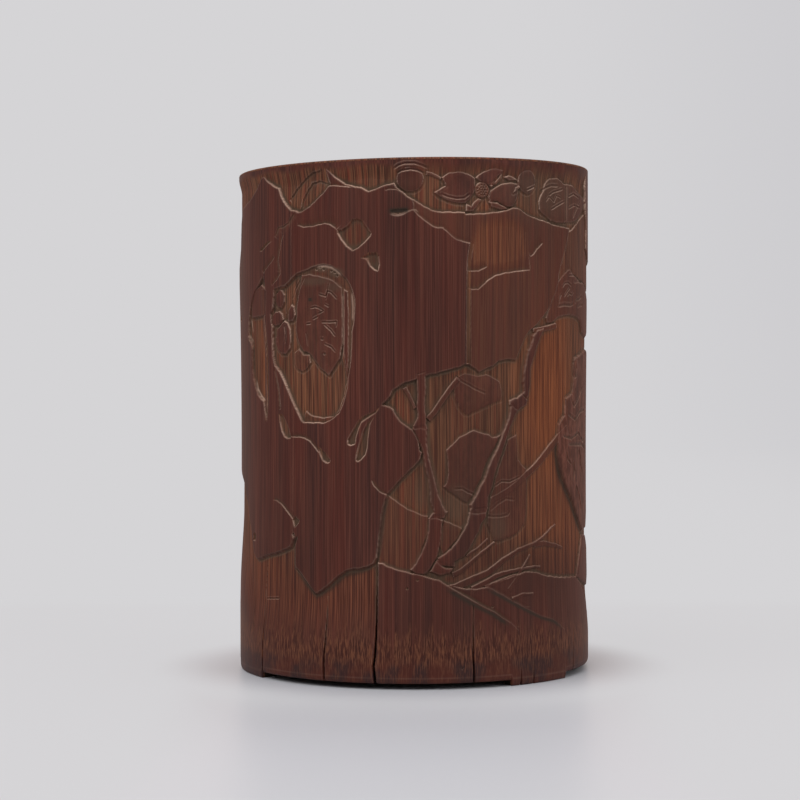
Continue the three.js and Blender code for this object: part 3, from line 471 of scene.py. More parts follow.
class Skin:
    """The unrolled outside of the stalk: a grid by angle and height, with a depth at each point."""

    def __init__(self, columns, rows):
        across, up = np.meshgrid(columns, rows)
        self.columns, self.rows = columns, rows
        self.right = across
        tilt = RIM_SLOPE * RADIUS * np.sin(across / RADIUS) / HEIGHT
        self.up = up * (1 + tilt)
        # Hand-cut edges waver a little
        self.waver = 0.045 * np.sin(1.9 * self.right + 1.4 * np.sin(1.1 * self.up)) \
            + 0.03 * np.sin(3.3 * self.up + 1.8 * np.sin(1.7 * self.right))
        rim = unit((HEIGHT - up - RIM_BAND + 0.5 * np.sin(0.35 * across)) / RIM_RAMP)
        # On the far left the ground runs out more slowly
        left = unit((-across - 60) / 25) * unit((130 + across) / 25)
        foot = smooth((self.up - FADE_START - 18 * left) / (FADE_END - FADE_START + 8 * left))
        self.fade = foot * smooth(rim)
        # The cut ground's colour reaches nearer to the rim on the left than over the blossoms
        self.bare = foot * unit((1.2 + 2.0 * unit((-2 - across) / 6)) * rim)
        self.relief = GROUND * self.fade
        self.cut = np.ones_like(self.relief)     # 1 on the cut ground, 0 on the old skin
        self.leaf = np.zeros_like(self.relief)   # 1 on leaves and petals
        self.crack_gap = np.zeros_like(self.relief)  # 1 in open cracks
        self.field = self.places(WARM_FIELDS)    # 1 where the ground is a warmer orange brown
        self.shade = self.places(DARK_FIELDS)    # 1 where it is darker
        self.dust = self.places(DUST_FIELDS)     # 1 where it is olive grey with dust
        self.worn = np.zeros_like(self.relief)   # 1 on pale lines of wear and painted highlight
        self.painted_shadow = np.zeros_like(self.relief)   # 1 on dark lines of painted shadow

    def places(self, fields):
        """A layer of soft oval places, each with its strength."""
        layer = np.zeros_like(self.relief)
        for right, up, half_width, half_height, strength in fields:
            away = np.hypot((self.right - right) / half_width, (self.up - up) / half_height)
            layer = np.maximum(layer, strength * unit(1.5 - away))
        return layer

    def near(self, shape, margin):
        """The part of the grid round a shape."""
        low, high = shape.min(0) - margin, shape.max(0) + margin
        column = np.searchsorted(self.columns, [low[0], high[0]])
        row = np.searchsorted(self.rows, [low[1] - 1, high[1] + 1])
        return slice(max(row[0] - 1, 0), row[1] + 1), slice(max(column[0] - 1, 0), column[1] + 1)

    def inside(self, shape, margin):
        """The part of the grid round an outline, and the distance to it, positive inside."""
        area = self.near(shape, margin)
        return area, self.distance(shape, area, True)

    def along(self, line, margin):
        """The part of the grid round a line, the distance to it, the share of its length, and the side."""
        area = self.near(line, margin)
        return area, *self.distance(line, area, False)

    def distance(self, shape, area, closed):
        """Distance to an outline, positive inside, or to a line, with the share of its length and side."""
        right, up = self.right[area], self.up[area]
        best = np.full(right.shape, 1e9)
        inside = np.zeros(right.shape, bool)
        share, side = np.zeros(right.shape), np.ones(right.shape)
        ends = np.roll(shape, -1, 0) if closed else shape[1:]
        starts = shape if closed else shape[:-1]
        lengths = np.hypot(*(ends - starts).T)
        total, done = lengths.sum(), 0.0
        for start, end, length in zip(starts, ends, lengths):
            along = (end - start) / max(length, 1e-9)
            to_right, to_up = right - start[0], up - start[1]
            passed = np.clip(to_right * along[0] + to_up * along[1], 0, length)
            distance = np.hypot(to_right - passed * along[0], to_up - passed * along[1])
            closer = distance < best
            best = np.where(closer, distance, best)
            share = np.where(closer, (done + passed) / total, share)
            side = np.where(closer, np.sign(along[0] * to_up - along[1] * to_right), side)
            if closed and start[1] != end[1]:
                crossing = start[0] + (end[0] - start[0]) * (up - start[1]) / (end[1] - start[1])
                inside ^= ((start[1] > up) != (end[1] > up)) & (right < crossing)
            done += length
        if closed:
            return np.where(inside, best, -best)
        return best, share, side

    def stand(self, shape, level, cut=0.0, edge=0.32, swell=0.5, drop=0.08, groove=0.08, leaf=0.0,
              soft=0.0):
        """Leaves a shape standing at a level, with a rounded edge and a fine groove round its foot."""
        area, distance = self.inside(shape, 3)
        distance += self.waver[area]
        edge = edge + soft * unit((SOFT_BELOW - self.up[area]) / 10)
        relief = self.relief[area]
        rounding = unit(1 - distance / swell) ** 2
        top = level * np.maximum(self.fade[area], 0.02) - drop * rounding
        rise = smooth(distance / edge + 0.5)
        foot = groove * np.exp(-((distance + 0.45) / 0.4) ** 2) * self.fade[area] * (relief < level - 0.1)
        self.relief[area] = (relief - foot) * (1 - rise) + np.where(distance > -edge, top, relief) * rise
        blend(self.cut, area, cut, rise)
        blend(self.leaf, area, leaf, rise)

    def sink(self, shape, level, edge=0.5, cut=1.0):
        """Cuts a shape down to a level."""
        area, distance = self.inside(shape, 2)
        fall = smooth((distance + self.waver[area]) / edge + 0.5)
        blend(self.relief, area, np.minimum(level, self.relief[area]), fall)
        blend(self.cut, area, cut, fall)

    def hollow(self, shape, depth, reach):
        """Scoops a shape out, deepest in its middle."""
        area, distance = self.inside(shape, 1)
        share = unit(distance / reach)
        self.relief[area] -= depth * share * (2 - share) * (distance > 0)
        raise_to(self.cut, area, unit(distance / 0.4 + 0.5))

    def scoop(self, shape, depth, gentle):
        """A worn hollow, deepest at its lower end, where its wall is steep."""
        area, distance = self.inside(shape, 1)
        top, bottom = shape[:, 1].max(), shape[:, 1].min()
        low = unit((top - self.up[area]) / (top - bottom))
        fall = smooth(distance / (0.45 + gentle * (1 - low)))
        floor = depth * (0.55 + 0.45 * low if gentle > 0.15 else 1)
        self.relief[area] -= floor * fall
        raise_to(self.cut, area, 0.8 * unit(distance / 0.3))

    def blade(self, line, start, end, level):
        """A narrow blade below its upper edge, tapering from one width to another."""
        area, distance, share, side = self.along(line, 4)
        width = start + (end - start) * share
        below = -distance * side
        inside = np.minimum(below, width - below) + 0.6 * self.waver[area]
        inside = np.where((share > 0.001) & (share < 0.999), inside, -1)
        rise = smooth(inside / 0.28 + 0.5)
        top = level - 0.15 * unit(below / width) ** 2
        top = np.maximum(top, self.relief[area] + 0.08)
        blend(self.relief, area, top, rise)
        blend(self.cut, area, 0.3, rise)

    def step(self, line, reach, depth):
        """The face on the left of a line dips down to it, and the face on its right stands over it."""
        area, distance, share, side = self.along(line, reach + 1)
        ends = tapered(share, 8, 0.25)
        away = distance * side + self.waver[area]
        dip = unit(1 - np.maximum(away, 0) / reach) ** 2
        wall = unit(away / 0.26 + 0.5)
        beyond = (share > 0.002) & (share < 0.998)
        cut = depth * dip * wall * ends * beyond
        self.relief[area] -= cut
        raise_to(self.cut, area, 0.55 * unit(cut / depth))
        # Painted shade: a dark strip on the dipped face along the step's wall
        dark = 0.3 * unit(1.2 - np.maximum(away, 0) / 1.6) * wall * ends * beyond
        raise_to(self.shade, area, dark)

    def engrave(self, line, width, depth):
        """A fine cut line, with a slight burr along its edges."""
        area, distance, share, _ = self.along(line, 2)
        ends = tapered(share, 10, 0.3)
        self.relief[area] -= depth * ends * np.exp(-(distance / (width * 0.6)) ** 2)
        self.relief[area] += 0.25 * depth * ends * np.exp(-((distance - width) / (width * 0.5)) ** 2)

    def paint(self, field, line, width, strength):
        """A soft line in one of the colour fields, fainter at its ends."""
        area, distance, share, _ = self.along(line, 3 * width)
        ends = tapered(share, 8, 0.2)
        raise_to(field, area, strength * ends * np.exp(-(distance / width) ** 2))

    def crack(self, line, width, depth):
        """An open drying crack, widest at the foot."""
        area, distance, share, _ = self.along(line, 2)
        half = width / 2 * np.maximum(1 - share, 0.15)
        gap = unit((half - distance) / 0.16 + 0.5) * (share < 0.995)
        self.relief[area] -= gap * depth * (1 - 0.75 * share)
        # The open gap is painted nearly black in the material, as painted shade
        raise_to(self.crack_gap, area, gap * (1 - 0.6 * share * share))


def oval(right, up, half_width, half_height, count=28):
    turn = np.arange(count) * 2 * math.pi / count
    return np.stack([right + half_width * np.cos(turn), up + half_height * np.sin(turn)], 1)


def carve(skin):
    """Carves the whole scene, from the ground up."""
    for shape in PLANES:
        skin.stand(shape, PLANE, cut=0.6, groove=0.06, drop=0.06)
    skin.stand(ROCK_FLANK, FLANK, cut=0.3)
    for shape in (ROCK_LEFT, ROCK_RIGHT, FAR_ROCK):
        skin.stand(shape, 0, soft=0.7)
    skin.stand(BANK_RIGHT, LEAF, cut=0.1, groove=0.14)
    skin.stand(BANK_MIDDLE, FLANK)
    skin.stand(BANK_LEFT, 0)
    for line, reach, depth in STEPS:
        skin.step(line, reach, depth)
    skin.step(BANK_LINE, 1.8, 0.3)
    skin.sink(FLANK_STRIP, -0.36, edge=0.4)
    skin.sink(FLANK_SCOOP, -0.4, edge=4.0, cut=0.75)
    skin.sink(ROCK_WINDOW, PLANE, edge=0.34, cut=0.7)
    skin.sink(WINDOW_INNER, GROUND - 0.05, edge=0.34)
    skin.stand(WINDOW_STRIP, -0.3, cut=0.05, edge=0.3, swell=0.2)
    skin.sink(ROCK_POCKET, GROUND, edge=0.5)
    skin.stand(POCKET_PATCH, -0.3, cut=0.1, edge=0.5)
    skin.stand(LOW_LEAF, -0.2, cut=0.3, edge=0.5, swell=1.2, drop=0.2, leaf=1.4)
    skin.stand(RIGHT_LEAF, -0.2, cut=0.45, edge=0.9, swell=1.4, drop=0.2, leaf=1.8)
    for shape, swell, level, cut in LEAVES:
        skin.stand(shape, level, cut=cut, swell=swell, drop=0.2, leaf=1.0)
    for right, up, half_width, half_height in BUDS:
        skin.stand(oval(right, up, half_width, half_height), LEAF, cut=0.1, swell=1.8, drop=0.28)
    right, up, size = BLOSSOM_HEART
    skin.stand(oval(right, up, size, size), LEAF, cut=0.4, swell=1.4, drop=0.2)
    for ring, count in ((0.0, 1), (0.8, 6), (1.5, 11)):
        for number in range(count):
            turn = 2 * math.pi * number / count
            middle = right + ring * math.cos(turn), up + ring * math.sin(turn)
            skin.hollow(oval(*middle, 0.26, 0.26, 8), 0.3, 0.2)
    for shape in JOINTS:
        skin.stand(shape, -0.2, edge=0.5, groove=0)
    for shape, edge in STEM_PARTS:
        skin.stand(shape, 0, edge=edge, swell=0.9, drop=0.18, groove=0)
    for blade in BLADES:
        skin.blade(*blade)
    for line in ENGRAVED:
        skin.engrave(*line)
    for pit in PITS:
        skin.scoop(*pit)
    for right, up in SPECKS:
        skin.hollow(oval(right, up, 0.45, 0.4, 8), 0.3, 0.3)
    for line, width, depth in CRACKS:
        skin.crack(line, width, depth)
    # Pale lines of wear and painted highlight
    for line in WORN_AND_LIT_LINES:
        skin.paint(skin.worn, *line)
    for line in SHADOW_LINES:
        skin.paint(skin.painted_shadow, *line)


def blurred(field, across, up):
    """A box blur, wrapped round the stalk."""
    def run(values, reach, axis, mode):
        pad = [(0, 0), (0, 0)]
        pad[axis] = (reach + 1, reach)
        total = np.cumsum(np.pad(values, pad, mode=mode), axis=axis)
        size = 2 * reach + 1
        if axis:
            return (total[:, size:] - total[:, :-size]) / size
        return (total[size:] - total[:-size]) / size
    return run(run(field, up, 0, "edge"), across, 1, "wrap")


def foot_gap(angles):
    """Height of the wall's lower edge at an angle: zero on a foot."""
    lift = np.full(angles.shape, FOOT_GAP)
    for middle in FEET:
        away = np.abs((np.degrees(angles) - middle + 180) % 360 - 180)
        lift *= unit((away - FOOT_WIDTH / 2) * 4 + 0.5)
    return lift


def build_mesh(name, vertices, faces, attributes=None, sharp=50):
    mesh = bpy.data.meshes.new(name)
    mesh.vertices.add(len(vertices))
    mesh.vertices.foreach_set("co", (vertices * MM).astype(np.float32).ravel())
    mesh.loops.add(faces.size)
    mesh.loops.foreach_set("vertex_index", faces.astype(np.int32).ravel())
    mesh.polygons.add(len(faces))
    mesh.polygons.foreach_set("loop_start", np.arange(0, faces.size, faces.shape[1], dtype=np.int32))
    mesh.polygons.foreach_set("use_smooth", np.ones(len(faces), bool))
    mesh.update(calc_edges=True)
    mesh.validate()
    mesh.set_sharp_from_angle(angle=math.radians(sharp))
    for key, values in (attributes or {}).items():
        kind, field = ("FLOAT_VECTOR", "vector") if values.ndim == 3 else ("FLOAT", "value")
        mesh.attributes.new(key, kind, "POINT").data.foreach_set(field, values.astype(np.float32).ravel())
    piece = bpy.data.objects.new(name, mesh)
    bpy.context.scene.collection.objects.link(piece)
    return piece


def quads(rings, columns, close_rings):
    """Faces of a grid of rings, closed round each ring, and from the last ring to the first if asked."""
    ring = np.arange(rings if close_rings else rings - 1)[:, None]
    column = np.arange(columns)[None, :]
    following = (column + 1) % columns
    above = (ring + 1) % rings
    corners = [ring * columns + column, ring * columns + following,
               above * columns + following, above * columns + column]
    return np.stack(np.broadcast_arrays(*corners), -1).reshape(-1, 4)


def wall_columns():
    """Angles of the wall's columns: close together in front, further apart at the sides and the back."""
    zones = ((-FINE_HALF_TURN, FINE_HALF_TURN, FINE),
             (FINE_HALF_TURN, MEDIUM_HALF_TURN, MEDIUM),
             (MEDIUM_HALF_TURN, 2 * math.pi - MEDIUM_HALF_TURN, COARSE),
             (2 * math.pi - MEDIUM_HALF_TURN, 2 * math.pi - FINE_HALF_TURN, MEDIUM))
    turns = []
    for start, end, spacing in zones:
        turns.append(np.linspace(start, end, int((end - start) * RADIUS / spacing), endpoint=False))
    return np.sort((np.concatenate(turns) + math.pi) % (2 * math.pi) - math.pi)


def wall_rows():
    """Heights of the carved rows, from the foot to the rim's edge."""
    return np.concatenate([
        np.linspace(0, HEEL_HEIGHT, 14)[:-1],
        np.linspace(HEEL_HEIGHT, FADE_START, 26)[:-1],
        np.arange(FADE_START, HEIGHT - RIM_EDGE, FINE),
    ])


def marks_of_age(skin, relief):
    """Layers of pale edges, from wear and painted highlight; of painted shade in grooves and under edges;
    and of dust.
    """
    # The edges' pale tint, wear with painted highlight, is stronger high up and on the left, calmer low
    # down, and dull far left and beside the pocket
    pale_above, pale_left_of, calm_below, dull_left_of = 100, -5, 62, -44
    pocket_right, pocket_up = -60.6, 92
    rise_up = np.gradient(relief, axis=0) / np.gradient(skin.up, axis=0)
    rise_right = np.gradient(relief, axis=1) / np.gradient(skin.right, axis=1)
    # Walls that face up and to the sides catch the light from above; the pale tint they get is partly
    # painted highlight
    facing = 0.4 * np.abs(rise_right) - 0.9 * rise_up
    soft, wide = blurred(relief, 3, 3), blurred(relief, 10, 10)
    lit = np.clip(facing, 0, None)
    sharp = np.clip(lit - blurred(lit, 2, 2), 0, None)
    edge_brightness = 0.6 + 0.6 * unit(np.maximum((skin.up - pale_above) / 25, (pale_left_of - skin.right) / 10))
    edge_brightness -= 0.14 * unit((calm_below - skin.up) / 10)
    upper = unit((relief - soft) / 0.2 + 0.55)
    edge = edge_brightness * upper * (1.2 * sharp / (sharp + 0.4) + 0.15 * unit((relief - soft - 0.05) / 0.14))
    edge *= 1 - unit(4 * blurred(skin.crack_gap, 3, 1))
    edge *= 1 - 0.7 * unit(1.6 - np.hypot((skin.right - pocket_right) / 4, (skin.up - pocket_up) / 9))
    edge *= 1 - 0.45 * unit((dull_left_of - skin.right) / 6)
    # No pale edge tint where a painted shadow line lies
    edge *= 1 - unit(skin.painted_shadow)
    heel_line = 0.07 * np.exp(-((skin.up - HEEL_HEIGHT - 0.1) / 0.25) ** 2)
    edge = np.maximum(np.maximum(edge, skin.worn), heel_line * (1 - unit(3 * skin.crack_gap)))
    # Painted shade: darker in recesses where the wall does not face up, and on walls that face down
    recess_shade = unit((soft - relief - 0.05) / 0.2) * unit(1 - facing)
    under = unit((rise_up - 0.2 * np.abs(rise_right) - 0.15) / 0.7)
    halo = np.maximum(unit((wide - relief - 0.06) / 0.32), skin.dust) * skin.fade
    return unit(edge), np.maximum(recess_shade, 0.5 * under), halo


def wall_rings(skin, angles, relief):
    """Radius, height and kind of each ring: up the outside, over the rim, down the bore, under the foot."""
    up = skin.up
    waist = WAIST * np.maximum(0, 1 - ((up - WAIST_MIDDLE) / WAIST_REACH) ** 2)
    heel = HEEL * (1 - np.sqrt(1 - unit(1 - up / HEEL_HEIGHT) ** 2))
    outer = np.minimum(RADIUS - waist - heel + relief, RADIUS)
    rings = [(radius, row, OUTSIDE) for radius, row in zip(outer, skin.rows)]
    foot, top = outer[0], outer[-1]
    quarter = math.pi / 2
    for angle in np.linspace(0, quarter, EDGE_RINGS):
        height = HEIGHT - RIM_EDGE + RIM_EDGE * math.sin(angle)
        rings.append((top - RIM_EDGE * (1 - math.cos(angle)), height, angle / 2))
    rim_outer, rim_inner = top - RIM_EDGE, BORE + LIP
    for share in np.linspace(0, 1, RIM_RINGS)[1:]:
        rings.append((rim_outer + (rim_inner - rim_outer) * share, HEIGHT, CUT_END))
    for angle in np.linspace(0, quarter, LIP_RINGS)[1:]:
        rings.append((BORE + LIP * (1 - math.sin(angle)), HEIGHT - LIP * (1 - math.cos(angle)), SOFT_LIP))
    ledge, rebate = DISC_TOP + GLUE_GAP, DISC_RADIUS + GLUE_GAP
    uneven = 0.12 * np.sin(5 * angles + 0.4) + 0.08 * np.sin(11 * angles)
    for height in np.linspace(HEIGHT - LIP, ledge, BORE_RINGS)[1:]:
        rings.append((BORE + uneven * min(1, (HEIGHT - LIP - height) / 12), height, INSIDE))
    for height in (ledge, FOOT_REACH, FOOT_REACH / 2, 1.0, 0.0):
        rings.append((rebate, height, INSIDE))
    for share in np.linspace(0, 1, UNDER_RINGS)[1:-1]:
        rings.append((rebate + (foot - rebate) * share, 0.0, UNDERSIDE))
    return rings


def carved_wall():
    """The stalk's wall: the carved outside, rim, bore, floor rebate and feet, as one closed skin."""
    angles = wall_columns()
    skin = Skin(angles * RADIUS, wall_rows())
    carve(skin)

    # Slow unevenness of a hand-finished surface
    uneven = 0.05 * np.sin(3 * angles + 0.03 * skin.up)
    uneven += 0.03 * np.sin(7 * angles + 1.1) * np.sin(0.05 * skin.up)
    tooling = 0.02 * skin.cut * np.sin(skin.right * 4.2 + 2.0 * np.sin(skin.up * 0.07)) * skin.fade
    relief = skin.relief + uneven * skin.fade + tooling
    edge, recess_shade, halo = marks_of_age(skin, relief)

    rings = wall_rings(skin, angles, relief)
    lift = foot_gap(angles)
    layers, plain, kinds = [], [], []
    for radius, height, kind in rings:
        lifted = height + lift * unit(1 - height / FOOT_REACH)
        leaning = lifted * (1 + RIM_SLOPE * RADIUS * np.sin(angles) / HEIGHT)
        layers.append(np.stack([radius * np.sin(angles), -radius * np.cos(angles) * OVAL, leaning], -1))
        # The same point on a plain cylinder, so that the fibres run straight through the carving
        plain.append(np.stack([RADIUS * np.sin(angles), -RADIUS * np.cos(angles), leaning], -1) * MM)
        kinds.append(np.full_like(angles, kind))

    def spread(field, filler=0.0):
        """A layer of the carved rows, with the rings beyond them filled in."""
        tail = np.full((len(rings) - len(skin.rows), len(angles)), filler)
        return np.concatenate([field, tail])

    attributes = {
        "field": skin.field, "shade": skin.shade, "leaf": skin.leaf, "edge": edge,
        "recess_shade": recess_shade, "painted_shadow": skin.painted_shadow, "halo": halo, "depth": relief - 2.4 * skin.crack_gap,
    }
    attributes = {name: spread(layer) for name, layer in attributes.items()}
    attributes["cut"] = spread(skin.cut * skin.bare, 1.0)
    attributes["kind"], attributes["plain"] = np.stack(kinds), np.stack(plain)
    faces = quads(len(rings), len(angles), True)
    return build_mesh("carved_wall", np.concatenate(layers), faces, attributes)


def floor_board():
    """The floor: a sawn disc with a softened edge."""
    columns = 180
    angles = np.arange(columns) * 2 * math.pi / columns
    bevel, corner, saw_depth, middle = 0.5, 0.15, 0.06, 0.4
    line = [(radius, DISC_BOTTOM) for radius in (middle, 12, 24, 36, DISC_RADIUS - bevel)]
    line += [(DISC_RADIUS - corner, DISC_BOTTOM + corner), (DISC_RADIUS, DISC_BOTTOM + bevel),
             (DISC_RADIUS, DISC_TOP - bevel), (DISC_RADIUS - corner, DISC_TOP - corner),
             (DISC_RADIUS - bevel, DISC_TOP)]
    # The saw left faint rings on the upper face
    line += [(radius, DISC_TOP - saw_depth * (1 + math.sin(radius * 0.9)))
             for radius in np.linspace(48, 1, 48)]
    rings = [np.stack([radius * np.sin(angles), -radius * np.cos(angles) * OVAL,
                       np.full(columns, height)], -1) for radius, height in line]
    vertices = np.concatenate(rings)
    piece = build_mesh("floor_board", vertices, quads(len(rings), columns, False), sharp=35)
    mesh = bmesh.new()
    mesh.from_mesh(piece.data)
    bmesh.ops.holes_fill(mesh, edges=[edge for edge in mesh.edges if edge.is_boundary], sides=0)
    bmesh.ops.recalc_face_normals(mesh, faces=mesh.faces)
    mesh.to_mesh(piece.data)
    mesh.free()
    return piece


# Materials

def srgb(red, green, blue):
    """A colour as a screen shows it, up to 255, turned into the linear values that materials need."""
    def linear(value):
        value /= 255
        return value / 12.92 if value <= 0.04045 else ((value + 0.055) / 1.055) ** 2.4
    return (linear(red), linear(green), linear(blue), 1)


class Shader:
    """Small helper that adds nodes to a material and links them."""

    def __init__(self, name):
        self.material = bpy.data.materials.new(name)
        self.material.use_nodes = True
        self.tree = self.material.node_tree
        self.main = self.tree.nodes["Principled BSDF"]
        self.place = self.node("ShaderNodeTexCoord").outputs["Object"]

    def link(self, value, socket):
        if isinstance(value, bpy.types.NodeSocket):
            self.tree.links.new(value, socket)
        else:
            socket.default_value = value

    def node(self, kind, inputs=(), **settings):
        made = self.tree.nodes.new(kind)
        for key, value in settings.items():
            setattr(made, key, value)
        for place, value in inputs:
            self.link(value, made.inputs[place])
        return made

    def surface(self, inputs):
        """Sets inputs of the surface shader, and returns the material."""
        for name, value in inputs.items():
            self.link(value, self.main.inputs[name])
        return self.material

    def attribute(self, name):
        return self.node("ShaderNodeAttribute", attribute_name=name).outputs["Fac"]

    def math(self, operation, first, second=0.0):
        return self.node("ShaderNodeMath", ((0, first), (1, second)), operation=operation).outputs[0]

    def times(self, first, second):
        return self.math("MULTIPLY", first, second)

    def plus(self, first, second):
        return self.math("ADD", first, second)

    def most(self, first, second):
        return self.math("MAXIMUM", first, second)

    def mix(self, factor, first, second):
        """A mix of two colours, each a socket or red, green and blue as a screen shows them, up to 255."""
        first, second = (srgb(*value) if isinstance(value, tuple) else value for value in (first, second))
        inputs = ((0, factor), (6, first), (7, second))
        return self.node("ShaderNodeMix", inputs, data_type="RGBA").outputs[2]

    def ramp(self, value, low, high):
        inputs = ((0, value), (1, low), (2, high))
        return self.node("ShaderNodeMapRange", inputs, interpolation_type="SMOOTHSTEP").outputs[0]

    def noise(self, stretch, scale, detail=2.0, roughness=0.5):
        """Noise in the material's own coordinates, stretched."""
        mapping = self.node("ShaderNodeMapping", (("Vector", self.place), ("Scale", stretch)))
        inputs = (("Vector", mapping.outputs[0]), ("Scale", scale), ("Detail", detail),
                  ("Roughness", roughness))
        return self.node("ShaderNodeTexNoise", inputs).outputs["Fac"]

    def bump(self, height, strength, distance):
        inputs = (("Height", height), ("Strength", strength), ("Distance", distance))
        return self.node("ShaderNodeBump", inputs).outputs[0]


def bamboo_material():
    """Old bamboo: dark red-brown skin, lighter streaked ground, worn edges, dust in the hollows."""
    look = Shader("carved_bamboo")
    pores = look.noise((1, 1, 1), 1500, 2.0, 0.6)
    real_place = look.place
    look.place = look.node("ShaderNodeAttribute", attribute_name="plain").outputs["Vector"]
    fibre = look.noise((1, 1, 0.012), 3100, 2.0, 0.65)
    thread = look.noise((1, 1, 0.006), 4800, 1.0, 0.5)
    strand = look.noise((1, 1, 0.01), 1000, 2.0, 0.55)
    band = look.noise((1, 1, 0.05), 170, 2.0, 0.5)
    cloud = look.noise((1, 1, 0.6), 26, 3.0, 0.55)
    patch = look.noise((1, 1, 0.7), 130, 2.0, 0.5)
    short = look.noise((1, 1, 0.1), 3300, 2.0, 0.6)
    height = look.node("ShaderNodeSeparateXYZ", ((0, real_place),)).outputs[2]
    # Heights in metres between which the colour changes near the foot
    red_zone, fleck_top, fleck_foot, dark_foot = (0.05, 0.024), (0.02, 0.011), (0.003, 0.009), (0.01, 0.006)

    def layered(colour, *layers):
        """Lays tones over a colour: each where a value lies between two limits, and at a strength."""
        for value, low, high, strength, tone in layers:
            colour = look.mix(look.times(look.ramp(value, low, high), strength), colour, tone)
        return colour

    def over(colour, name, strength, tone):
        """Lays a tone over a colour where a layer of the mesh says so."""
        return look.mix(look.times(look.attribute(name), strength), colour, tone)

    skin = look.mix(look.ramp(band, 0.35, 0.65), (63, 36, 33), (80, 37, 31))
    skin = layered(skin, (strand, 0.42, 0.68, 0.5, (102, 56, 45)), (fibre, 0.42, 0.62, 0.55, (51, 28, 25)),
                   (thread, 0.5, 0.66, 0.5, (106, 62, 50)))
    ground = look.mix(look.ramp(fibre, 0.4, 0.62), (68, 38, 29), (126, 82, 59))
    ground = layered(ground, (thread, 0.45, 0.65, 0.6, (56, 40, 29)),
                     (strand, 0.48, 0.72, 0.6, (116, 54, 39)))
    field = look.mix(look.ramp(fibre, 0.38, 0.62), (88, 44, 28), (142, 82, 50))
    field = layered(field, (thread, 0.45, 0.66, 0.55, (78, 36, 25)))
    ground = look.mix(look.attribute("field"), ground, field)
    red = look.mix(look.ramp(fibre, 0.4, 0.62), (62, 28, 23), (112, 61, 44))
    ground = layered(ground, (height, *red_zone, 0.8, red))
    colour = look.mix(look.attribute("cut"), skin, ground)
    mottle = look.noise((1, 1, 0.35), 620, 3.0, 0.65)
    light = look.mix(look.ramp(look.attribute("leaf"), 1.2, 2.4), (100, 54, 47), (144, 98, 84))
    spots = look.mix(look.ramp(mottle, 0.4, 0.62), (54, 31, 30), light)
    colour = over(colour, "leaf", 0.22, spots)
    colour = over(colour, "shade", 0.6, (56, 33, 28))
    colour = layered(colour, (cloud, 0.45, 0.75, 0.3, (60, 38, 33)))

    # The short-fibred zone at the foot: light flecks above, darker patches below
    flecks = look.mix(look.ramp(short, 0.42, 0.62), (54, 27, 24), (116, 72, 51))
    ragged = look.plus(height, look.times(look.math("SUBTRACT", strand, 0.5), 0.02))
    zone = look.times(look.ramp(ragged, *fleck_top), look.ramp(height, *fleck_foot))
    colour = look.mix(look.times(zone, 0.7), colour, flecks)
    low = look.mix(look.ramp(patch, 0.42, 0.58), (42, 31, 34), (72, 35, 29))
    low = layered(low, (short, 0.48, 0.66, 0.6, (104, 64, 46)))
    colour = layered(colour, (height, *dark_foot, 0.7, low))

    # Pale edges of wear with painted highlight, dust, and painted shade: in recesses, under edges, along
    # lines, and deep in hollows and cracks
    colour = over(colour, "halo", 0.75, (82, 67, 54))
    # Pale edge tint: wear with painted highlight, at a strength that varies at random
    worn = look.plus(look.times(look.ramp(patch, 0.35, 0.6), 0.45), 0.5)
    colour = over(colour, "edge", worn, (200, 167, 147))
    # Painted shade in recesses and on walls that face down
    colour = over(colour, "recess_shade", 0.42, (52, 39, 32))
    # Painted shadow along lines under edges and overhangs
    colour = over(colour, "painted_shadow", 1.0, (48, 40, 34))
    # Painted shade, nearly black, deep in hollows and open cracks
    colour = layered(colour, (look.attribute("depth"), -1.5, -2.6, 1.0, (26, 18, 15)))

    # Cut end of the rim, the bore, and the raw underside
    kind = look.attribute("kind")
    rim = look.mix(look.ramp(pores, 0.45, 0.62), (92, 48, 36), (58, 34, 28))
    inside = look.mix(look.ramp(fibre, 0.35, 0.7), (96, 64, 46), (128, 90, 62))
    colour = layered(colour, (kind, 0.2, 0.9, 1.0, rim), (kind, 1.4, 1.9, 1.0, inside),
                     (kind, 2.1, 2.4, 1.0, (38, 26, 21)))

    rough = look.plus(look.times(look.attribute("cut"), 0.14), 0.46)
    relief = look.plus(look.times(fibre, 0.6), look.times(thread, 0.4))
    relief = look.times(relief, look.plus(look.times(look.attribute("cut"), 0.7), 0.3))
    return look.surface({
        "Base Color": colour, "Roughness": look.plus(rough, look.times(fibre, 0.1)),
        "Specular IOR Level": 0.19, "Specular Tint": (1.0, 0.76, 0.64, 1),
        "Normal": look.bump(relief, 0.6, 0.00014),
    })


def board_material():
    look = Shader("floor_board")
    grain = look.noise((1, 0.05, 1), 420, 3.0, 0.6)
    cloud = look.noise((1, 1, 1), 40, 2.0, 0.5)
    colour = look.mix(look.ramp(grain, 0.35, 0.7), (72, 48, 36), (104, 72, 52))
    colour = look.mix(look.times(cloud, 0.5), colour, (66, 46, 36))
    return look.surface({"Base Color": colour, "Roughness": 0.7, "Normal": look.bump(grain, 0.5, 0.0002)})


def dress(piece, node, material):
    piece.data.materials.append(material)
    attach(piece, "root")
    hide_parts(node)


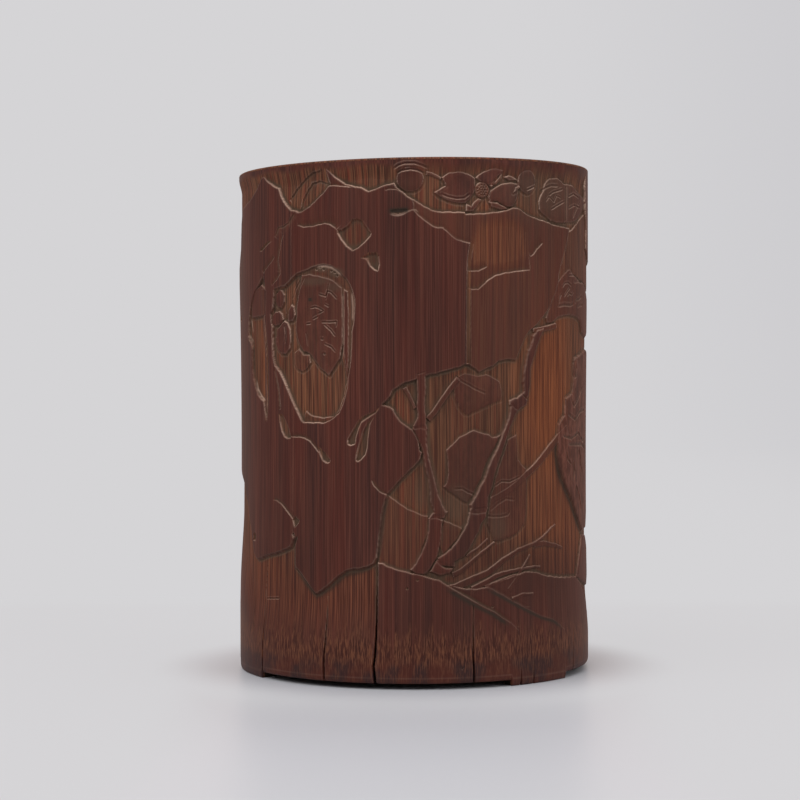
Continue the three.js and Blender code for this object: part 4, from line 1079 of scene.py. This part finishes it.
def studio():
    """A pale table that runs up into a pale wall, and soft light from above and both sides."""
    far, bend, steps = 2.6, 0.8, 16
    line = [(-1.6, 0.0), (far - bend, 0.0)]
    for step in range(1, steps + 1):
        angle = math.pi / 2 * step / steps
        line.append((far - bend + bend * math.sin(angle), bend - bend * math.cos(angle)))
    line.append((far, 2.4))
    half = 2.4
    vertices = [(x, y, z) for y, z in line for x in (-half, half)]
    faces = [(2 * step, 2 * step + 1, 2 * step + 3, 2 * step + 2) for step in range(len(line) - 1)]
    mesh = bpy.data.meshes.new("backdrop")
    mesh.from_pydata(vertices, [], faces)
    mesh.update()
    for polygon in mesh.polygons:
        polygon.use_smooth = True
    backdrop = bpy.data.objects.new("backdrop", mesh)
    bpy.context.scene.collection.objects.link(backdrop)
    mesh.materials.append(backdrop_material())

    world = bpy.data.worlds.new("studio")
    bpy.context.scene.world = world
    world.use_nodes = True
    background = world.node_tree.nodes["Background"]
    background.inputs["Color"].default_value = SKY_COLOUR
    background.inputs["Strength"].default_value = SKY_STRENGTH

    aim = Vector((0, 0, HEIGHT * MM / 2))
    for name, place, size, watts in LAMPS:
        light = bpy.data.lights.new(name, "AREA")
        light.energy = watts
        light.size = size
        lamp = bpy.data.objects.new(name, light)
        lamp.location = place
        lamp.rotation_mode = "QUATERNION"
        lamp.rotation_quaternion = (aim - Vector(place)).to_track_quat("-Z", "Y")
        bpy.context.scene.collection.objects.link(lamp)


def backdrop_material():
    """Real light on the table near the pot, and a plain pale grey further off."""
    look = Shader("backdrop")
    path = look.node("ShaderNodeLightPath")
    camera_ray, glossy_ray = path.outputs["Is Camera Ray"], path.outputs["Is Glossy Ray"]
    x, y, _ = look.node("ShaderNodeSeparateXYZ", ((0, look.place),)).outputs
    away = look.node("ShaderNodeVectorMath", ((0, look.place),), operation="LENGTH").outputs["Value"]
    # Painted shade: the plain grey is a little darker towards the right
    grey = look.mix(look.ramp(x, 0.1, 0.7), (213, 212, 214), (205, 204, 207))
    # Reflections see a warmer colour than the camera does: a painted reflection that warms the pot's sheen
    plain = look.node("ShaderNodeEmission", (("Color", look.mix(glossy_ray, grey, (204, 184, 174))),))
    aside = look.ramp(look.math("ABSOLUTE", x), 0.042, 0.075)
    near = look.most(look.ramp(y, -0.12, -0.03), aside)
    near = look.times(look.ramp(away, 0.056, 0.085), look.times(near, 0.85))
    far = look.most(look.ramp(away, 0.12, 0.4), look.ramp(y, 0.02, 0.2))
    share = look.times(look.most(camera_ray, glossy_ray), look.most(near, far))
    both = look.node("ShaderNodeMixShader", ((0, share), (1, look.main.outputs[0]), (2, plain.outputs[0])))
    look.link(both.outputs[0], look.tree.nodes["Material Output"].inputs["Surface"])
    return look.surface({"Base Color": srgb(195, 195, 200), "Roughness": 0.34, "Specular IOR Level": 0.35})


def photo_camera():
    """The photograph's view: nearly level, from the front."""
    distance, height = 0.6628, 0.09318
    turn, nod, roll = 0.0066, -0.0139, 0.0018
    focal_pixels, image_pixels, sensor = 2090.9, 800, 36
    data = bpy.data.cameras.new("camera")
    data.sensor_width = sensor
    data.lens = sensor * focal_pixels / image_pixels
    camera = bpy.data.objects.new("camera", data)
    aim = Matrix.Rotation(turn, 4, "Z") @ Matrix.Rotation(nod, 4, "X") @ Matrix.Rotation(roll, 4, "Y")
    level = Matrix.Rotation(math.pi / 2, 4, "X")
    camera.matrix_world = Matrix.Translation((0, -distance, height)) @ aim @ level
    bpy.context.scene.collection.objects.link(camera)
    bpy.context.scene.camera = camera


photo_camera()
studio()
dress(carved_wall(), "culm_wall", bamboo_material())
dress(floor_board(), "floor_disc", board_material())

bpy.context.scene.view_settings.view_transform = "Standard"
bpy.context.view_layer.update()
